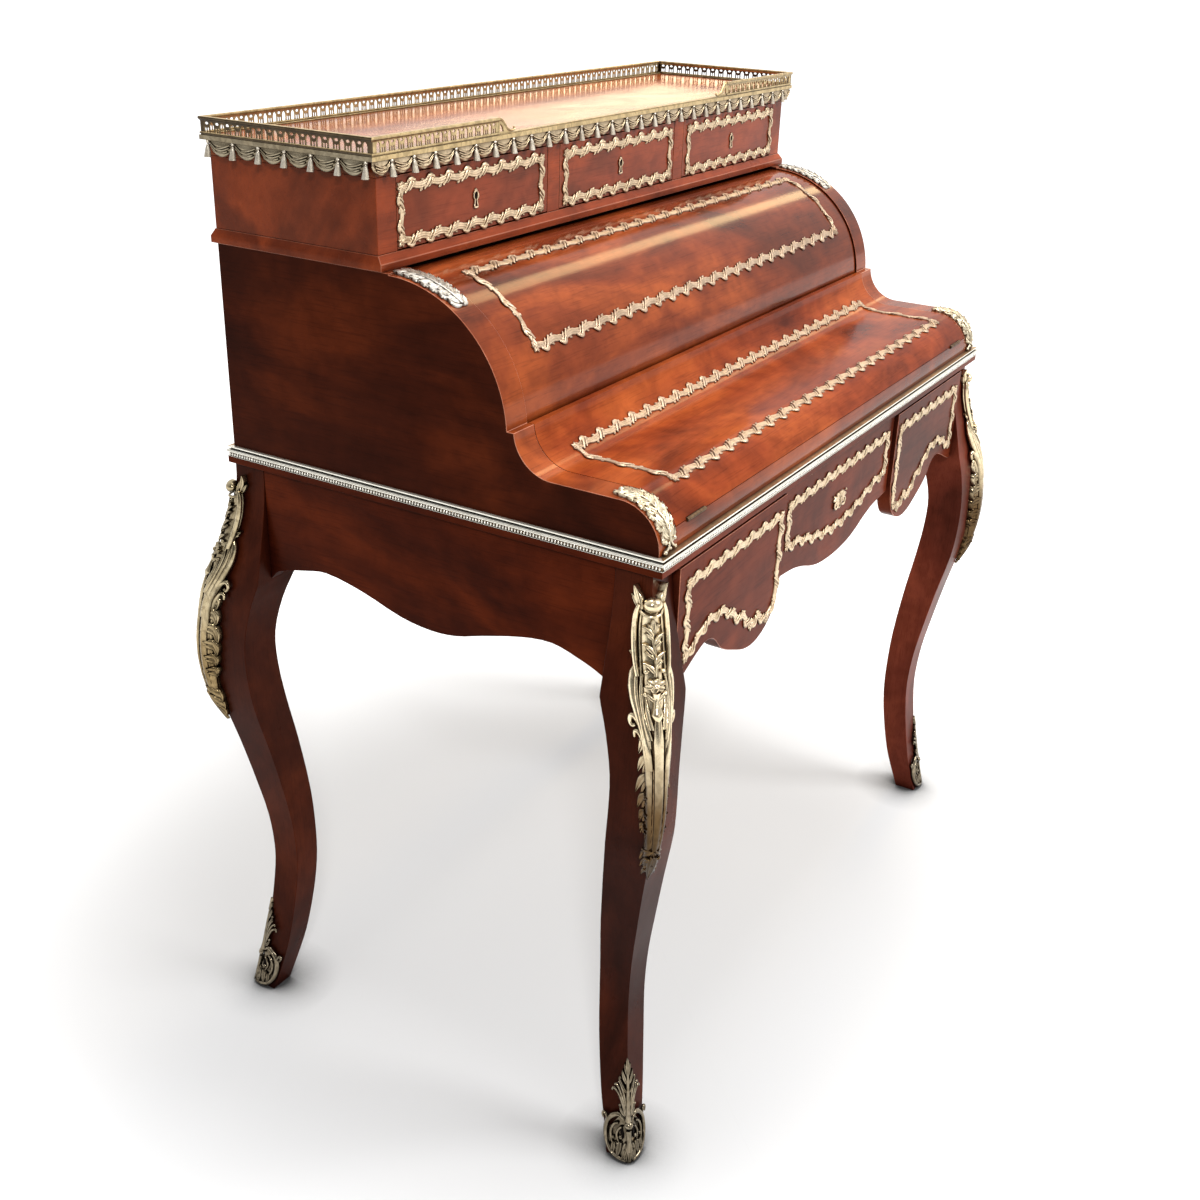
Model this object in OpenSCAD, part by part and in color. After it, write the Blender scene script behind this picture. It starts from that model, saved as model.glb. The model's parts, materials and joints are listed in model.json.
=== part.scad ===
// Cylinder writing desk in the Louis XV manner: a cabriole table with three
// shaped drawers, a rigid quarter-cylinder lid over an ogee fall, and a low
// case of three drawers under a brass gallery.
// Millimetres, +Z up, front towards -Y, origin under the middle of the desk.

/* [Table] */
// Width over the corners of the case
case_w = 970; // [940:2:1000]
// Depth over the corners of the case
case_d = 556; // [548:1:576]
// Height of the top of the brass table moulding
table_z = 777; // [760:1:790]
// How far the table moulding stands out over the front legs
front_over = 14.3; // [13:0.1:16]
// How far the table moulding stands out at the sides and back
side_over = 5.8; // [5.2:0.1:8]
// Width of a leg post at the case
leg_w = 43; // [40:1:46]
// Thickness of the side and back aprons
apron_t = 18; // [14:1:20]

/* [Lower drawers] */
// Half width of the middle drawer front
mid_half = 179; // [170:1:190]
// Height of the drawer fronts' top edge below the table moulding's top
front_drop = 27; // [26:0.5:30]
// How far the outer drawer fronts stand out of the legs
outer_proud = 8.3; // [6:0.1:10]
// Thickness of an outer drawer front
outer_front_t = 20; // [18:1:21]
// Thickness of the partitions between the drawers
part_t = 22; // [18:1:24]
// Depth of the lower drawer boxes behind their fronts
low_box_d = 400; // [360:5:430]
// Height of the lower drawer boxes
low_box_h = 60; // [50:1:60]

/* [Roll top] */
// Thickness of the shaped end cheeks
cheek_t = 37; // [34:1:40]
// Radius of the cheeks' upper curve
roll_r = 146; // [144:0.5:148]
// Depth of the curve's centre behind the table moulding's front edge
roll_y = 335; // [333:0.5:337]
// Height of the curve's centre above the table moulding
roll_up = 84; // [83:0.5:86]
// Thickness of the quarter-cylinder lid
lid_t = 12; // [10:0.5:13]
// How far the lid lies behind the cheeks' curve
lid_in = 2.4; // [2.2:0.1:4]
// Thickness of the bed board under the fall
bed_t = 20; // [18:0.5:22]
// Radius of the fall's rounded nose
nose_r = 47; // [45:0.5:48]
// Radius of the fall's hollow cove
cove_r = 46; // [45:0.5:47]
// Depth of the cove's centre behind the moulding's front edge
cove_y = 135; // [134:0.5:136]
// Height of the ledge above the table moulding
ledge_up = 93; // [92:0.5:95]

/* [Upper case] */
// Width of the upper case
upper_w = 964; // [956:2:968]
// Depth of the upper case
upper_d = 224; // [220:1:226]
// Height of the upper case from its base moulding to its cornice
upper_h = 94; // [90:1:98]
// Height of the base moulding
base_h = 15.4; // [14:0.2:18]
// Width of the upper case's end stiles
stile_w = 32; // [28:1:36]
// Inner edge of the upper partitions from the middle
up_part_x = 142; // [136:1:148]
// Width of the upper partitions
up_part_w = 26; // [22:1:28]
// Depth of the upper drawer boxes behind their fronts
up_box_d = 184; // [160:2:190]
// How far the cornice stands out of the upper case at the sides
cornice_out = 13.7; // [12:0.1:15]
// Height of the pierced gallery with its rail
gallery_h = 17.2; // [15:0.2:20]
// Width of one pair of gallery openings
arcade = 14.6; // [14:0.1:16]

/* [Mounts] */
// Width of the gilt frame strips
strip = 10; // [8:0.5:10.5]
// How far the frame strips stand out
proud = 3.2; // [2:0.1:3.4]
// How far the corner mounts stand out of the knees
chute_out = 9.5; // [7:0.5:11]
// How much further their stems bow out below the knees
chute_bow = 8; // [4:0.5:9]
// Thickness of the shoes on the feet
shoe_t = 4; // [3:0.5:5]

/* [Fits] */
// Gap between a drawer and what it slides on
slide_gap = 0.3; // [0.2:0.1:0.5]
// Gap round a drawer front
front_gap = 0.8; // [0.5:0.1:1.2]
// Radius of the lid's pivot pins
pin_r = 4; // [3:0.5:5]
// Glue line between boards of one box
seam = 0.1; // [0.05:0.05:0.2]
// Radial clearance of a pin that turns
run_gap = 0.05; // [0.02:0.01:0.09]

/* [Hidden] */
$fn = 96;
hw = case_w / 2;
front_y = front_over;
back_y = front_over + case_d;
mid_y = (front_y + back_y) / 2;
back_over = back_y + side_over + 2;
top_half = hw + side_over;
board_t = 20;
leg_h = table_z - board_t;
brass_h = 12;
brass_z = table_z - brass_h;
brass_w = 12;

bed_z = table_z + bed_t;
cheek_in = hw - cheek_t;
cheek_front = 8.5;
nose_y = cheek_front + nose_r;
nose_z = table_z + 4;
flat_z = nose_z + nose_r;
cove_z = flat_z + cove_r;
ledge_z = table_z + ledge_up;
roll_z = table_z + roll_up;
cheek_top = roll_z + roll_r + 1.6;
lid_r = roll_r - lid_in;
lid_half = cheek_in - 1;
lid_low = -1;
lid_high = 95;
fall_gap = 0.6;
fall_back = roll_y - roll_r - 0.6;
fall_half = cheek_in - 0.6;
fall_z = bed_z + fall_gap;
seam_y = nose_y - sqrt(nose_r * nose_r - pow(bed_z - nose_z, 2));
axis_y = seam_y - 0.3;
axis_z = bed_z + fall_gap / 2;
knuckle_r = 2.2;
hinge_pin_r = 1;
hinge_x = fall_half - 42.4;
hinge_half = 20;

base_z = cheek_top;
upper_z = base_z + base_h;
upper_back = back_y + 3.7;
upper_y = upper_back - upper_d;
upper_half = upper_w / 2;
rail_z = upper_z + upper_h - 17.3;
cornice_z = upper_z + upper_h;
cornice_half = upper_half + cornice_out;
cornice_front = upper_y - 8.1;
cornice_h = 6.2;
gallery_z = cornice_z + cornice_h;

low_top = table_z - front_drop;
bear_z = table_z - 117;
part_in = mid_half + 1 - part_t / 2;
part_out = mid_half + 1 + part_t / 2;
low_back = back_y - apron_t;
outer_y = front_y + 0.02 - outer_proud;
mid_front_y = outer_y + 5.5;
behind_y = outer_y + outer_front_t + 4;
post_in = hw - leg_w;

wood = [0.42, 0.19, 0.11];
dark = [0.3, 0.13, 0.08];
oak = [0.62, 0.47, 0.3];
gilt = [0.8, 0.68, 0.42];
silver = [0.82, 0.8, 0.72];
green = [0.2, 0.28, 0.2];

// ---- shared shapes ----

// moves depths counted from the moulding's front edge into the desk's frame
module seat() {
  translate([0, -mid_y, 0]) children();
}

// a block from its low corner to its high corner
module block(lo, hi) {
  translate(lo) cube([hi[0] - lo[0], hi[1] - lo[1], hi[2] - lo[2]]);
}

// a side view (depth, height) drawn out from x0 to x1
module along_x(x0, x1) {
  translate([x0, 0, 0]) rotate([90, 0, 90]) linear_extrude(x1 - x0) children();
}

// a front view (across, height) drawn out from y0 back to y1
module along_y(y0, y1) {
  translate([0, y1, 0]) rotate([90, 0, 0]) linear_extrude(y1 - y0) children();
}

module both_sides() {
  children();
  mirror([1, 0, 0]) children();
}

// value at h of a smooth curve through keys of [height, value]
function slope(k, i) =
  i == 0 ? (k[1][1] - k[0][1]) / (k[1][0] - k[0][0])
  : i == len(k) - 1 ? (k[i][1] - k[i - 1][1]) / (k[i][0] - k[i - 1][0])
  : (k[i + 1][1] - k[i - 1][1]) / (k[i + 1][0] - k[i - 1][0]);
function span(k, h, i = 0) =
  i >= len(k) - 2 || h < k[i + 1][0] ? i : span(k, h, i + 1);
function blend(k, i, w, t) =
  (2 * t * t * t - 3 * t * t + 1) * k[i][1] + (t * t * t - 2 * t * t + t) * w * slope(k, i)
  + (3 * t * t - 2 * t * t * t) * k[i + 1][1] + (t * t * t - t * t) * w * slope(k, i + 1);
function curve(k, h) =
  let (i = span(k, h), w = k[i + 1][0] - k[i][0])
  blend(k, i, w, (h - k[i][0]) / w);
function sampled(k, steps) =
  [for (i = [0 : len(k) - 2], j = [0 : steps - 1])
    let (h = k[i][0] + (k[i + 1][0] - k[i][0]) * j / steps) [h, curve(k, h)]];
function swapped(p) = [for (q = p) [q[1], q[0]]];
function turned(p) = [for (i = [len(p) - 1 : -1 : 0]) p[i]];

// closed path moved sideways by d, with mitred corners; outwards if it runs anticlockwise
function left_of(p, q) = [q[1] - p[1], p[0] - q[0]] / norm(q - p);
function mitred(p, d) =
  [for (i = [0 : len(p) - 1])
    let (n = len(p), e = left_of(p[(i + n - 1) % n], p[i]), f = left_of(p[i], p[(i + 1) % n]))
    p[i] + d * (e + f) / (1 + e * f)];

// strip of width w along a closed path
module band(path, w) {
  difference() {
    polygon(mitred(path, w / 2));
    polygon(mitred(path, -w / 2));
  }
}

// slice of a ring round the lid's axis, angles up from the front
module ring(r0, r1, a0, a1) {
  translate([roll_y, roll_z]) intersection() {
    difference() {
      circle(r1);
      circle(r0);
    }
    polygon([[0, 0], for (i = [0 : 4])
      let (a = a0 + (a1 - a0) * i / 4) [-1.3 * r1 * cos(a), 1.3 * r1 * sin(a)]]);
  }
}

// ---- legs ----

// outward and inward offsets of a leg's faces from the case corner
// the leg's drawn heights are for a leg 757 high
rise = leg_h / 757;
leg_out = [[0, 20], [42 * rise, 11], [84 * rise, 4.8], [132 * rise, -1], [190 * rise, -6.4],
           [224 * rise, -7], [270 * rise, -3.8], [320 * rise, 3.8], [384 * rise, 15.2],
           [448 * rise, 28], [488 * rise, 31.4], [530 * rise, 31.8], [570 * rise, 29.5],
           [610 * rise, 24.6], [650 * rise, 16], [700 * rise, 5], [735 * rise, 0.6], [leg_h, 0]];
leg_in = [[0, 12.5], [41 * rise, 22.9], [80 * rise, 31.7], [140 * rise, 40.6], [190 * rise, 45.3],
          [235 * rise, 46.2], [300 * rise, 43.8], [380 * rise, 35.7], [437 * rise, 28.1],
          [490 * rise, 22.8], [535 * rise, 22.4], [580 * rise, 30.7], [618 * rise, leg_w]];

// square section whose two faces both follow the same side view
module square_sweep(outline) {
  intersection() {
    translate([0, 150, 0]) rotate([90, 0, 0]) linear_extrude(300) polygon(outline);
    translate([-150, 0, 0]) rotate([90, 0, 90]) linear_extrude(300) polygon(outline);
  }
}

leg_outline = concat(
  swapped(sampled(leg_out, 3)), [[0, leg_h], [-leg_w, leg_h]],
  [[-leg_w, 618 * rise]],
  [for (q = turned(sampled(leg_in, 3))) [-q[1], q[0]]]);

module leg() {
  square_sweep(leg_outline);
}

// puts a corner piece at one corner of the case: sx and sy are 1 or -1
module corner(sx, sy) {
  seat() translate([sx * hw, sy > 0 ? back_y : front_y, 0])
    mirror([sx > 0 ? 0 : 1, 0, 0]) mirror([0, sy > 0 ? 0 : 1, 0]) children();
}

module leg_front_left() color(wood) corner(-1, -1) leg();
module leg_front_right() color(wood) corner(1, -1) leg();
module leg_back_left() color(wood) corner(-1, 1) leg();
module leg_back_right() color(wood) corner(1, 1) leg();

// ---- corner mounts on the knees: how far they stand out and how wide they lie ----
// the stem bows further out below the knee
chute_high = [[418 * rise, 3], [440 * rise, chute_out - 2], [480 * rise, chute_out + 0.75 * chute_bow],
              [510 * rise, chute_out + chute_bow], [540 * rise, chute_out + 0.9 * chute_bow],
              [590 * rise, chute_out + 0.45 * chute_bow], [621 * rise, chute_out + 2],
              [657 * rise, chute_out + 2], [700 * rise, chute_out + 2], [726 * rise, chute_out + 2],
              [744 * rise, 4]];
chute_wide = [[418, 4], [440, 7], [458, 6], [470, 4], [500, 8], [516, 10], [586, 12],
              [597, 9], [604, 21], [618, 21], [628, 18], [640, 22], [657, 22], [664, 17],
              [720, 17], [734, 10], [744, 15]];
chute_outline = concat(
  [for (q = sampled(chute_high, 4)) [curve(leg_out, q[0]) + q[1], q[0]]],
  [[curve(leg_out, 744 * rise) + 4, 744 * rise]],
  [for (q = turned(chute_wide)) [curve(leg_out, q[0] * rise) - q[1], q[0] * rise]]);

module chute() {
  difference() {
    square_sweep(chute_outline);
    leg();
  }
}

module chutes() color(gilt) {
  for (sx = [-1, 1], sy = [-1, 1]) corner(sx, sy) chute();
}

// ---- shoes on the feet's outer corners, each with a leaf up the edge ----
shoe_top = 57;
leaf_top = 135;
shoe_wide = [[0, 21], [28, 21], [shoe_top, 19], [62, 10], [80, 13], [95, 15], [115, 11], [leaf_top, 2]];
shoe_outline = concat(
  [for (q = shoe_wide) [curve(leg_out, q[0] * rise) + shoe_t - q[0] / leaf_top, q[0]]],
  [for (q = turned(shoe_wide)) [curve(leg_out, q[0] * rise) - q[1], q[0]]]);

module sabot() {
  difference() {
    square_sweep(shoe_outline);
    leg();
  }
}

module sabots() color(gilt) {
  for (sx = [-1, 1], sy = [-1, 1]) corner(sx, sy) sabot();
}

// ---- aprons ----
apron_len = case_d - 2 * leg_w;
reach = apron_len / 470;
side_edge = [[0, -140], [12 * reach, -129], [42 * reach, -117], [74 * reach, -109], [112 * reach, -113],
             [165 * reach, -127], [199 * reach, -137], [233 * reach, -140], [275 * reach, -135],
             [332 * reach, -118], [383 * reach, -109], [415 * reach, -114], [458 * reach, -126],
             [apron_len, -138]];

module side_aprons() color(wood) seat() both_sides()
  translate([0, front_y + leg_w, leg_h]) along_x(hw - 0.5 - apron_t, hw - 0.5)
    polygon(concat(sampled(side_edge, 3), [[apron_len, -138], [apron_len, 0], [0, 0]]));

back_edge = [[-post_in, -140], [-0.9 * post_in, -114], [-0.45 * post_in, -116], [0, -130],
             [0.45 * post_in, -116], [0.9 * post_in, -114], [post_in, -140]];

module back_apron() color(oak) seat()
  translate([0, 0, leg_h]) along_y(back_y - apron_t, back_y)
    polygon(concat(sampled(back_edge, 4), [[post_in, -140], [post_in, 0], [-post_in, 0]]));

// ---- rails, runners and partitions behind the lower drawers ----
module drawer_bearers() color(oak) seat() {
  block([-post_in, behind_y, bear_z - 10], [post_in, behind_y + 40, bear_z]);
  block([-post_in, behind_y, low_top + front_gap], [post_in, behind_y + 40, leg_h]);
  both_sides() {
    block([part_in - 12, behind_y + 40 + seam, bear_z - 10], [part_out + 12, low_back, bear_z]);
    block([post_in - 18, behind_y + 40 + seam, bear_z - 10], [post_in, low_back, bear_z]);
  }
}

module partitions() color(oak) seat() both_sides() difference() {
  block([part_in, behind_y, bear_z], [part_out, low_back, leg_h]);
  block([part_in - 1, behind_y - 1, low_top + front_gap],
        [part_out + 1, behind_y + 40, leg_h + 1]);
}

// ---- table board and its brass edge ----
lip_z = brass_z;

module table_board() color(wood) seat() {
  union() {
    block([-top_half + brass_w, brass_w, leg_h],
          [top_half - brass_w, back_over - brass_w, table_z]);
    block([-top_half + 1.3, 1.5, leg_h], [top_half - 1.3, back_over - 1.3, lip_z]);
  }
}

// height and setback of the moulding's steps, drawn 12 high
brass_k = brass_h / 12;
brass_steps = [[0, 1.4], [4.5 * brass_k, 0], [6.8 * brass_k, 0], [6.8 * brass_k, 1.6], [8.8 * brass_k, 1.6],
               [8.8 * brass_k, 0.4], [11.5 * brass_k, 0.4], [brass_h, 1]];

module table_moulding() color(silver) seat() difference() {
  intersection() {
    along_y(-1, back_over + 1) polygon(concat(
      [for (q = brass_steps) [top_half - q[1], brass_z + q[0]]],
      [for (q = turned(brass_steps)) [-top_half + q[1], brass_z + q[0]]]));
    along_x(-top_half - 1, top_half + 1) polygon(concat(
      [for (q = brass_steps) [back_over - q[1], brass_z + q[0]]],
      [for (q = turned(brass_steps)) [q[1], brass_z + q[0]]]));
  }
  block([-top_half + brass_w, brass_w, brass_z - 1],
        [top_half - brass_w, back_over - brass_w, table_z + 1]);
}

// ---- cheeks ----

// the ogee below the ledge, drawn back to a given depth
module ogee(back, low) {
  translate([nose_y, low]) square([back - nose_y, flat_z - low]);
  intersection() {
    translate([nose_y, nose_z]) circle(nose_r);
    translate([cheek_front - 1, max(low, nose_z)])
      square([nose_r + 1.5, flat_z - max(low, nose_z) + 1]);
  }
  difference() {
    translate([cove_y, flat_z - 0.5]) square([back - cove_y, ledge_z - flat_z + 0.5]);
    translate([cove_y, cove_z]) circle(cove_r);
  }
}

module cheek_view() {
  ogee(roll_y + 20, table_z);
  translate([cheek_front, table_z]) square([nose_r, nose_z - table_z]);
  intersection() {
    translate([roll_y, roll_z]) circle(roll_r);
    translate([roll_y - roll_r - 1, ledge_z - 2]) square([roll_r + 2, roll_r + 10]);
  }
  translate([roll_y, table_z]) square([back_y - roll_y, cheek_top - table_z]);
}

module cheek() {
  difference() {
    along_x(cheek_in, hw) cheek_view();
    translate([cheek_in - 1, roll_y, roll_z]) rotate([0, 90, 0]) cylinder(r = pin_r + 0.02, h = 23);
  }
}

module cheek_right() color(wood) seat() cheek();
module cheek_left() color(wood) seat() mirror([1, 0, 0]) cheek();

// leaf mounts up the front edge of each cheek
mount_in = cheek_in + 2;
mount_out = hw - 2;

module cheek_mounts_upper() color(silver) seat() both_sides()
  along_x(mount_in, mount_out) ring(roll_r, roll_r + 4, 50, 89);

module nose_band(t) {
  difference() {
    union() {
      translate([nose_y, nose_z]) circle(nose_r + t);
      translate([nose_y, nose_z]) square([10, nose_r + t]);
    }
    translate([nose_y, nose_z]) circle(nose_r);
    translate([nose_y, nose_z - 80]) square([60, 80 + nose_r]);
    translate([nose_y + 10, nose_z - 80]) square([60, 160 + nose_r]);
    translate([nose_y - 80, nose_z - 80]) square([81, 80]);
  }
}

module cheek_mounts_lower() color(gilt) seat() both_sides()
  along_x(mount_in, mount_out) {
    nose_band(3.5);
    translate([cheek_front - 3.5, table_z]) square([3.5, nose_z - table_z]);
  }

module pivot_pins() color(silver) seat() both_sides()
  translate([cheek_in - 14, roll_y, roll_z]) rotate([0, 90, 0]) cylinder(r = pin_r, h = 34);

// ---- inside the roll ----
panel_t = 12;
back_in = back_y - 2 - panel_t;

module back_panel() color(oak) seat()
  block([-cheek_in, back_in, bed_z], [cheek_in, back_in + panel_t, cheek_top]);

leather_t = 1.5;
leather_half = fall_half - 51.4;
leather_y0 = 36;
leather_y1 = fall_back - 14;
inner_y = 290;

module bed_leather() color(green) seat()
  block([-leather_half, leather_y0, bed_z - leather_t], [leather_half, inner_y - 18, bed_z]);

// plate, knuckles and bore of one hinge; up is 1 for the fall's leaf, -1 for the bed's
leaf_t = 1.2;
leaf_y0 = axis_y + knuckle_r + 0.5;
leaf_y1 = leaf_y0 + 16;

module leaf_plate(up) {
  z0 = up > 0 ? fall_z : bed_z - leaf_t;
  block([hinge_x - hinge_half, leaf_y0, z0], [hinge_x + hinge_half, leaf_y1, z0 + leaf_t]);
}

module leaf_tab(x0, x1, up) {
  z0 = up > 0 ? fall_z : bed_z - leaf_t;
  difference() {
    union() {
      block([x0, axis_y, z0], [x1, leaf_y0, z0 + leaf_t]);
      translate([x0, axis_y, axis_z]) rotate([0, 90, 0]) cylinder(r = knuckle_r, h = x1 - x0);
    }
    translate([x0 - 1, axis_y, axis_z]) rotate([0, 90, 0])
      cylinder(r = hinge_pin_r + run_gap, h = x1 - x0 + 2);
  }
}

module knuckle_groove() {
  both_sides() translate([hinge_x - hinge_half - 0.4, axis_y, axis_z]) rotate([0, 90, 0])
    cylinder(r = knuckle_r + 0.4, h = 2 * hinge_half + 0.8);
}

module tab_slot(x0, x1, up) {
  z0 = up > 0 ? fall_z - 0.1 : bed_z - leaf_t;
  block([x0, axis_y, z0], [x1, leaf_y0, z0 + leaf_t + 0.1]);
}

knuckle_w = 2 * hinge_half / 3;
k_in = hinge_x - knuckle_w / 2 + 0.2;
k_out = hinge_x + knuckle_w / 2 - 0.2;
x_in = hinge_x - hinge_half;
x_out = hinge_x + hinge_half;

module bed_hinge_leaves() color(gilt) seat() both_sides() {
  union() {
    leaf_plate(-1);
    leaf_tab(x_in, k_in - 0.4, -1);
    leaf_tab(k_out + 0.4, x_out, -1);
  }
  translate([x_in, axis_y, axis_z]) rotate([0, 90, 0]) cylinder(r = hinge_pin_r, h = 2 * hinge_half);
}

module fall_hinge_leaves() color(gilt) seat() both_sides() {
  union() {
    leaf_plate(1);
    leaf_tab(k_in, k_out, 1);
  }
}

module bed_board() color(wood) seat() difference() {
  along_x(-cheek_in, cheek_in) intersection() {
    union() {
      ogee(back_in + panel_t, table_z);
      translate([cheek_front, table_z]) square([nose_r, nose_z - table_z]);
    }
    translate([0, table_z]) square([back_in + panel_t, bed_t]);
  }
  block([-leather_half, leather_y0, bed_z - leather_t], [leather_half, inner_y - 18, bed_z + 1]);
  knuckle_groove();
  both_sides() {
    leaf_plate(-1);
    tab_slot(x_in, k_in - 0.4, -1);
    tab_slot(k_out + 0.4, x_out, -1);
  }
}

// small shelves and drawers behind the writing bed
nest_half = cheek_in - 20;
nest_d = 140;
nest_top = roll_z + 77;
nest_t = 8;
shelf_z = bed_z + 46;
nest_back = inner_y + nest_d;

module pigeonholes() color(wood) seat() {
  board_back = nest_back - 6 - seam;
  both_sides()
    block([nest_half - nest_t, inner_y, bed_z], [nest_half, board_back, nest_top - nest_t - seam]);
  block([-nest_half, inner_y, nest_top - nest_t], [nest_half, board_back, nest_top]);
  block([-nest_half + nest_t + seam, inner_y + 1, shelf_z],
        [nest_half - nest_t - seam, board_back, shelf_z + 6]);
  block([-nest_half, nest_back - 6, bed_z], [nest_half, nest_back, nest_top]);
  block([-nest_t / 2, inner_y, bed_z], [nest_t / 2, board_back, shelf_z - seam]);
  for (i = [-2 : 2])
    block([i * nest_half / 3 - 3, inner_y + 2, shelf_z + 6 + seam],
          [i * nest_half / 3 + 3, board_back, nest_top - nest_t - seam]);
}

// a drawer's sides, back and bottom between x0 and x1, behind depth y0
module drawer_box(x0, x1, y0, y1, z0, h, t) {
  block([x0, y0, z0], [x0 + t, y1, z0 + h]);
  block([x1 - t, y0, z0], [x1, y1, z0 + h]);
  block([x0 + t + seam, y1 - t, z0], [x1 - t - seam, y1, z0 + h]);
  block([x0 + t + seam, y0, z0 + 2], [x1 - t - seam, y1 - t - seam, z0 + 7]);
}

module inner_drawer() {
  x0 = nest_t / 2 + 0.5;
  x1 = nest_half - nest_t - 0.5;
  block([x0, inner_y, bed_z + slide_gap], [x1, inner_y + 8, shelf_z - 0.5]);
  drawer_box(x0, x1, inner_y + 8 + seam, nest_back - 12, bed_z + slide_gap, 38, 6);
  translate([(x0 + x1) / 2, inner_y, (bed_z + shelf_z) / 2]) rotate([90, 0, 0]) {
    cylinder(r = 3, h = 5);
    translate([0, 0, 5]) cylinder(r = 6, h = 5);
  }
}

module inner_drawer_right() color(oak) seat() inner_drawer();
module inner_drawer_left() color(oak) seat() mirror([1, 0, 0]) inner_drawer();

// ---- quarter-cylinder lid ----
arm_t = 12;
arm_out = lid_half - 0.5;

module lid_panel() color(wood) seat()
  along_x(-lid_half, lid_half) ring(lid_r - lid_t, lid_r, lid_low, lid_high);

module spoke(a) {
  translate([roll_y, roll_z]) rotate(180 - a) translate([0, -11]) square([lid_r - lid_t - 4, 22]);
}

module lid_arms() color(oak) seat() both_sides() difference() {
  along_x(arm_out - arm_t, arm_out) {
    ring(lid_r - lid_t - 16, lid_r - lid_t, 1, 93);
    spoke(10);
    spoke(84);
    translate([roll_y, roll_z]) circle(18);
  }
  translate([arm_out - arm_t - 1, roll_y, roll_z]) rotate([0, 90, 0])
    cylinder(r = pin_r + run_gap, h = arm_t + 2);
}

frame_half = lid_half - 42;
frame_low = 29.2;
frame_high = 76.8;
strip_deg = strip / lid_r * 180 / PI;

module lid_mount() color(gilt) seat() difference() {
  along_x(-frame_half, frame_half) ring(lid_r, lid_r + proud, frame_low, frame_high);
  along_x(-frame_half + strip, frame_half - strip)
    ring(lid_r - 5, lid_r + 10, frame_low + strip_deg, frame_high - strip_deg);
}

// ---- ogee fall ----
hollow_y0 = 26;
hollow_y1 = fall_back - 9;
hollow_z = flat_z - 12;
hollow_half = fall_half - 12;

module fall_view() {
  ogee(fall_back, fall_z);
}

module fall_panel() color(wood) seat() difference() {
  along_x(-fall_half, fall_half) fall_view();
  block([-hollow_half, hollow_y0, fall_z - 1], [hollow_half, hollow_y1, hollow_z]);
  knuckle_groove();
  both_sides() {
    leaf_plate(1);
    tab_slot(k_in, k_out, 1);
  }
}

module fall_board() color(wood) seat() difference() {
  block([-hollow_half, hollow_y0, fall_z], [hollow_half, hollow_y1, fall_z + 9]);
  block([-leather_half, leather_y0, fall_z - 1], [leather_half, leather_y1, fall_z + leather_t]);
  both_sides() leaf_plate(1);
}

module fall_leather() color(green) seat()
  block([-leather_half, leather_y0, fall_z], [leather_half, leather_y1, fall_z + leather_t]);

fall_frame_half = fall_half - 44.4;
fall_frame_y0 = 38;
fall_frame_y1 = 165;

// skin that stands out of the fall's surface by t
module fall_skin(t) {
  difference() {
    union() {
      intersection() {
        translate([nose_y, nose_z]) circle(nose_r + t);
        translate([0, nose_z]) square([nose_y, nose_r + t]);
      }
      translate([nose_y, flat_z - 5]) square([cove_y - nose_y, 5 + t]);
      difference() {
        translate([cove_y, flat_z - 5]) square([cove_r - t, cove_r]);
        translate([cove_y, cove_z]) circle(cove_r - t);
      }
    }
    ogee(fall_back, table_z);
  }
}

module fall_mount() color(gilt) seat() difference() {
  along_x(-fall_frame_half, fall_frame_half) intersection() {
    fall_skin(proud);
    translate([fall_frame_y0, flat_z - 20]) square([fall_frame_y1 - fall_frame_y0, 80]);
  }
  block([-fall_frame_half + strip, fall_frame_y0 + strip - 1, flat_z - 20],
        [fall_frame_half - strip, fall_frame_y1 - strip + 2, flat_z + 60]);
}

// ---- upper case ----
base_out = 4;
base_step = 7.4;

module base_moulding() color(wood) seat() difference() {
  intersection() {
    along_y(upper_y - 20, upper_back + 20) polygon([
      [-upper_half - base_out, base_z], [upper_half + base_out, base_z],
      [upper_half + base_out, base_z + base_step], [upper_half + 0.5, upper_z],
      [-upper_half - 0.5, upper_z], [-upper_half - base_out, base_z + base_step]]);
    along_x(-upper_half - 20, upper_half + 20) polygon([
      [upper_y - 6.7, base_z], [upper_back + 5.3, base_z],
      [upper_back + 5.3, base_z + base_step], [upper_back + 0.5, upper_z],
      [upper_y - 0.5, upper_z], [upper_y - 6.7, base_z + base_step]]);
  }
  block([-upper_half + 16, upper_y + 14, base_z - 1], [upper_half - 16, upper_back - 14, upper_z + 1]);
}

module base_board() color(oak) seat()
  block([-upper_half + 16, upper_y + 14, base_z], [upper_half - 16, upper_back - 14, upper_z]);

module upper_uprights() color(wood) seat() both_sides() {
  block([upper_half - stile_w, upper_y, upper_z], [upper_half, upper_back, rail_z]);
  block([up_part_x, upper_y, upper_z], [up_part_x + up_part_w, upper_back - 10, rail_z]);
}

module upper_back() color(oak) seat()
  block([-upper_half + stile_w, upper_back - 10, upper_z], [upper_half - stile_w, upper_back, rail_z]);

board_in = 9;

module top_board() color(wood) seat() union() {
  block([-upper_half, upper_y, rail_z], [upper_half, upper_back, cornice_z]);
  block([-cornice_half + board_in, cornice_front + board_in, cornice_z - 1],
        [cornice_half - board_in, upper_back - board_in, cornice_z + 5]);
}

module cornice_slab(inset, z0, z1) {
  block([-cornice_half + inset, cornice_front + inset, z0],
        [cornice_half - inset, upper_back - inset, z1]);
}

module cornice() color(gilt) seat() difference() {
  union() {
    cornice_slab(0, cornice_z, cornice_z + 4.7);
    cornice_slab(1.5, cornice_z + 4.7, gallery_z);
  }
  cornice_slab(board_in, cornice_z - 1, gallery_z + 1);
}

// hangings under the cornice: swags between tassels
lam_t = 2.5;
lam_in = 1;
tassel_w = 6;
tassel_h = 17;

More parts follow.
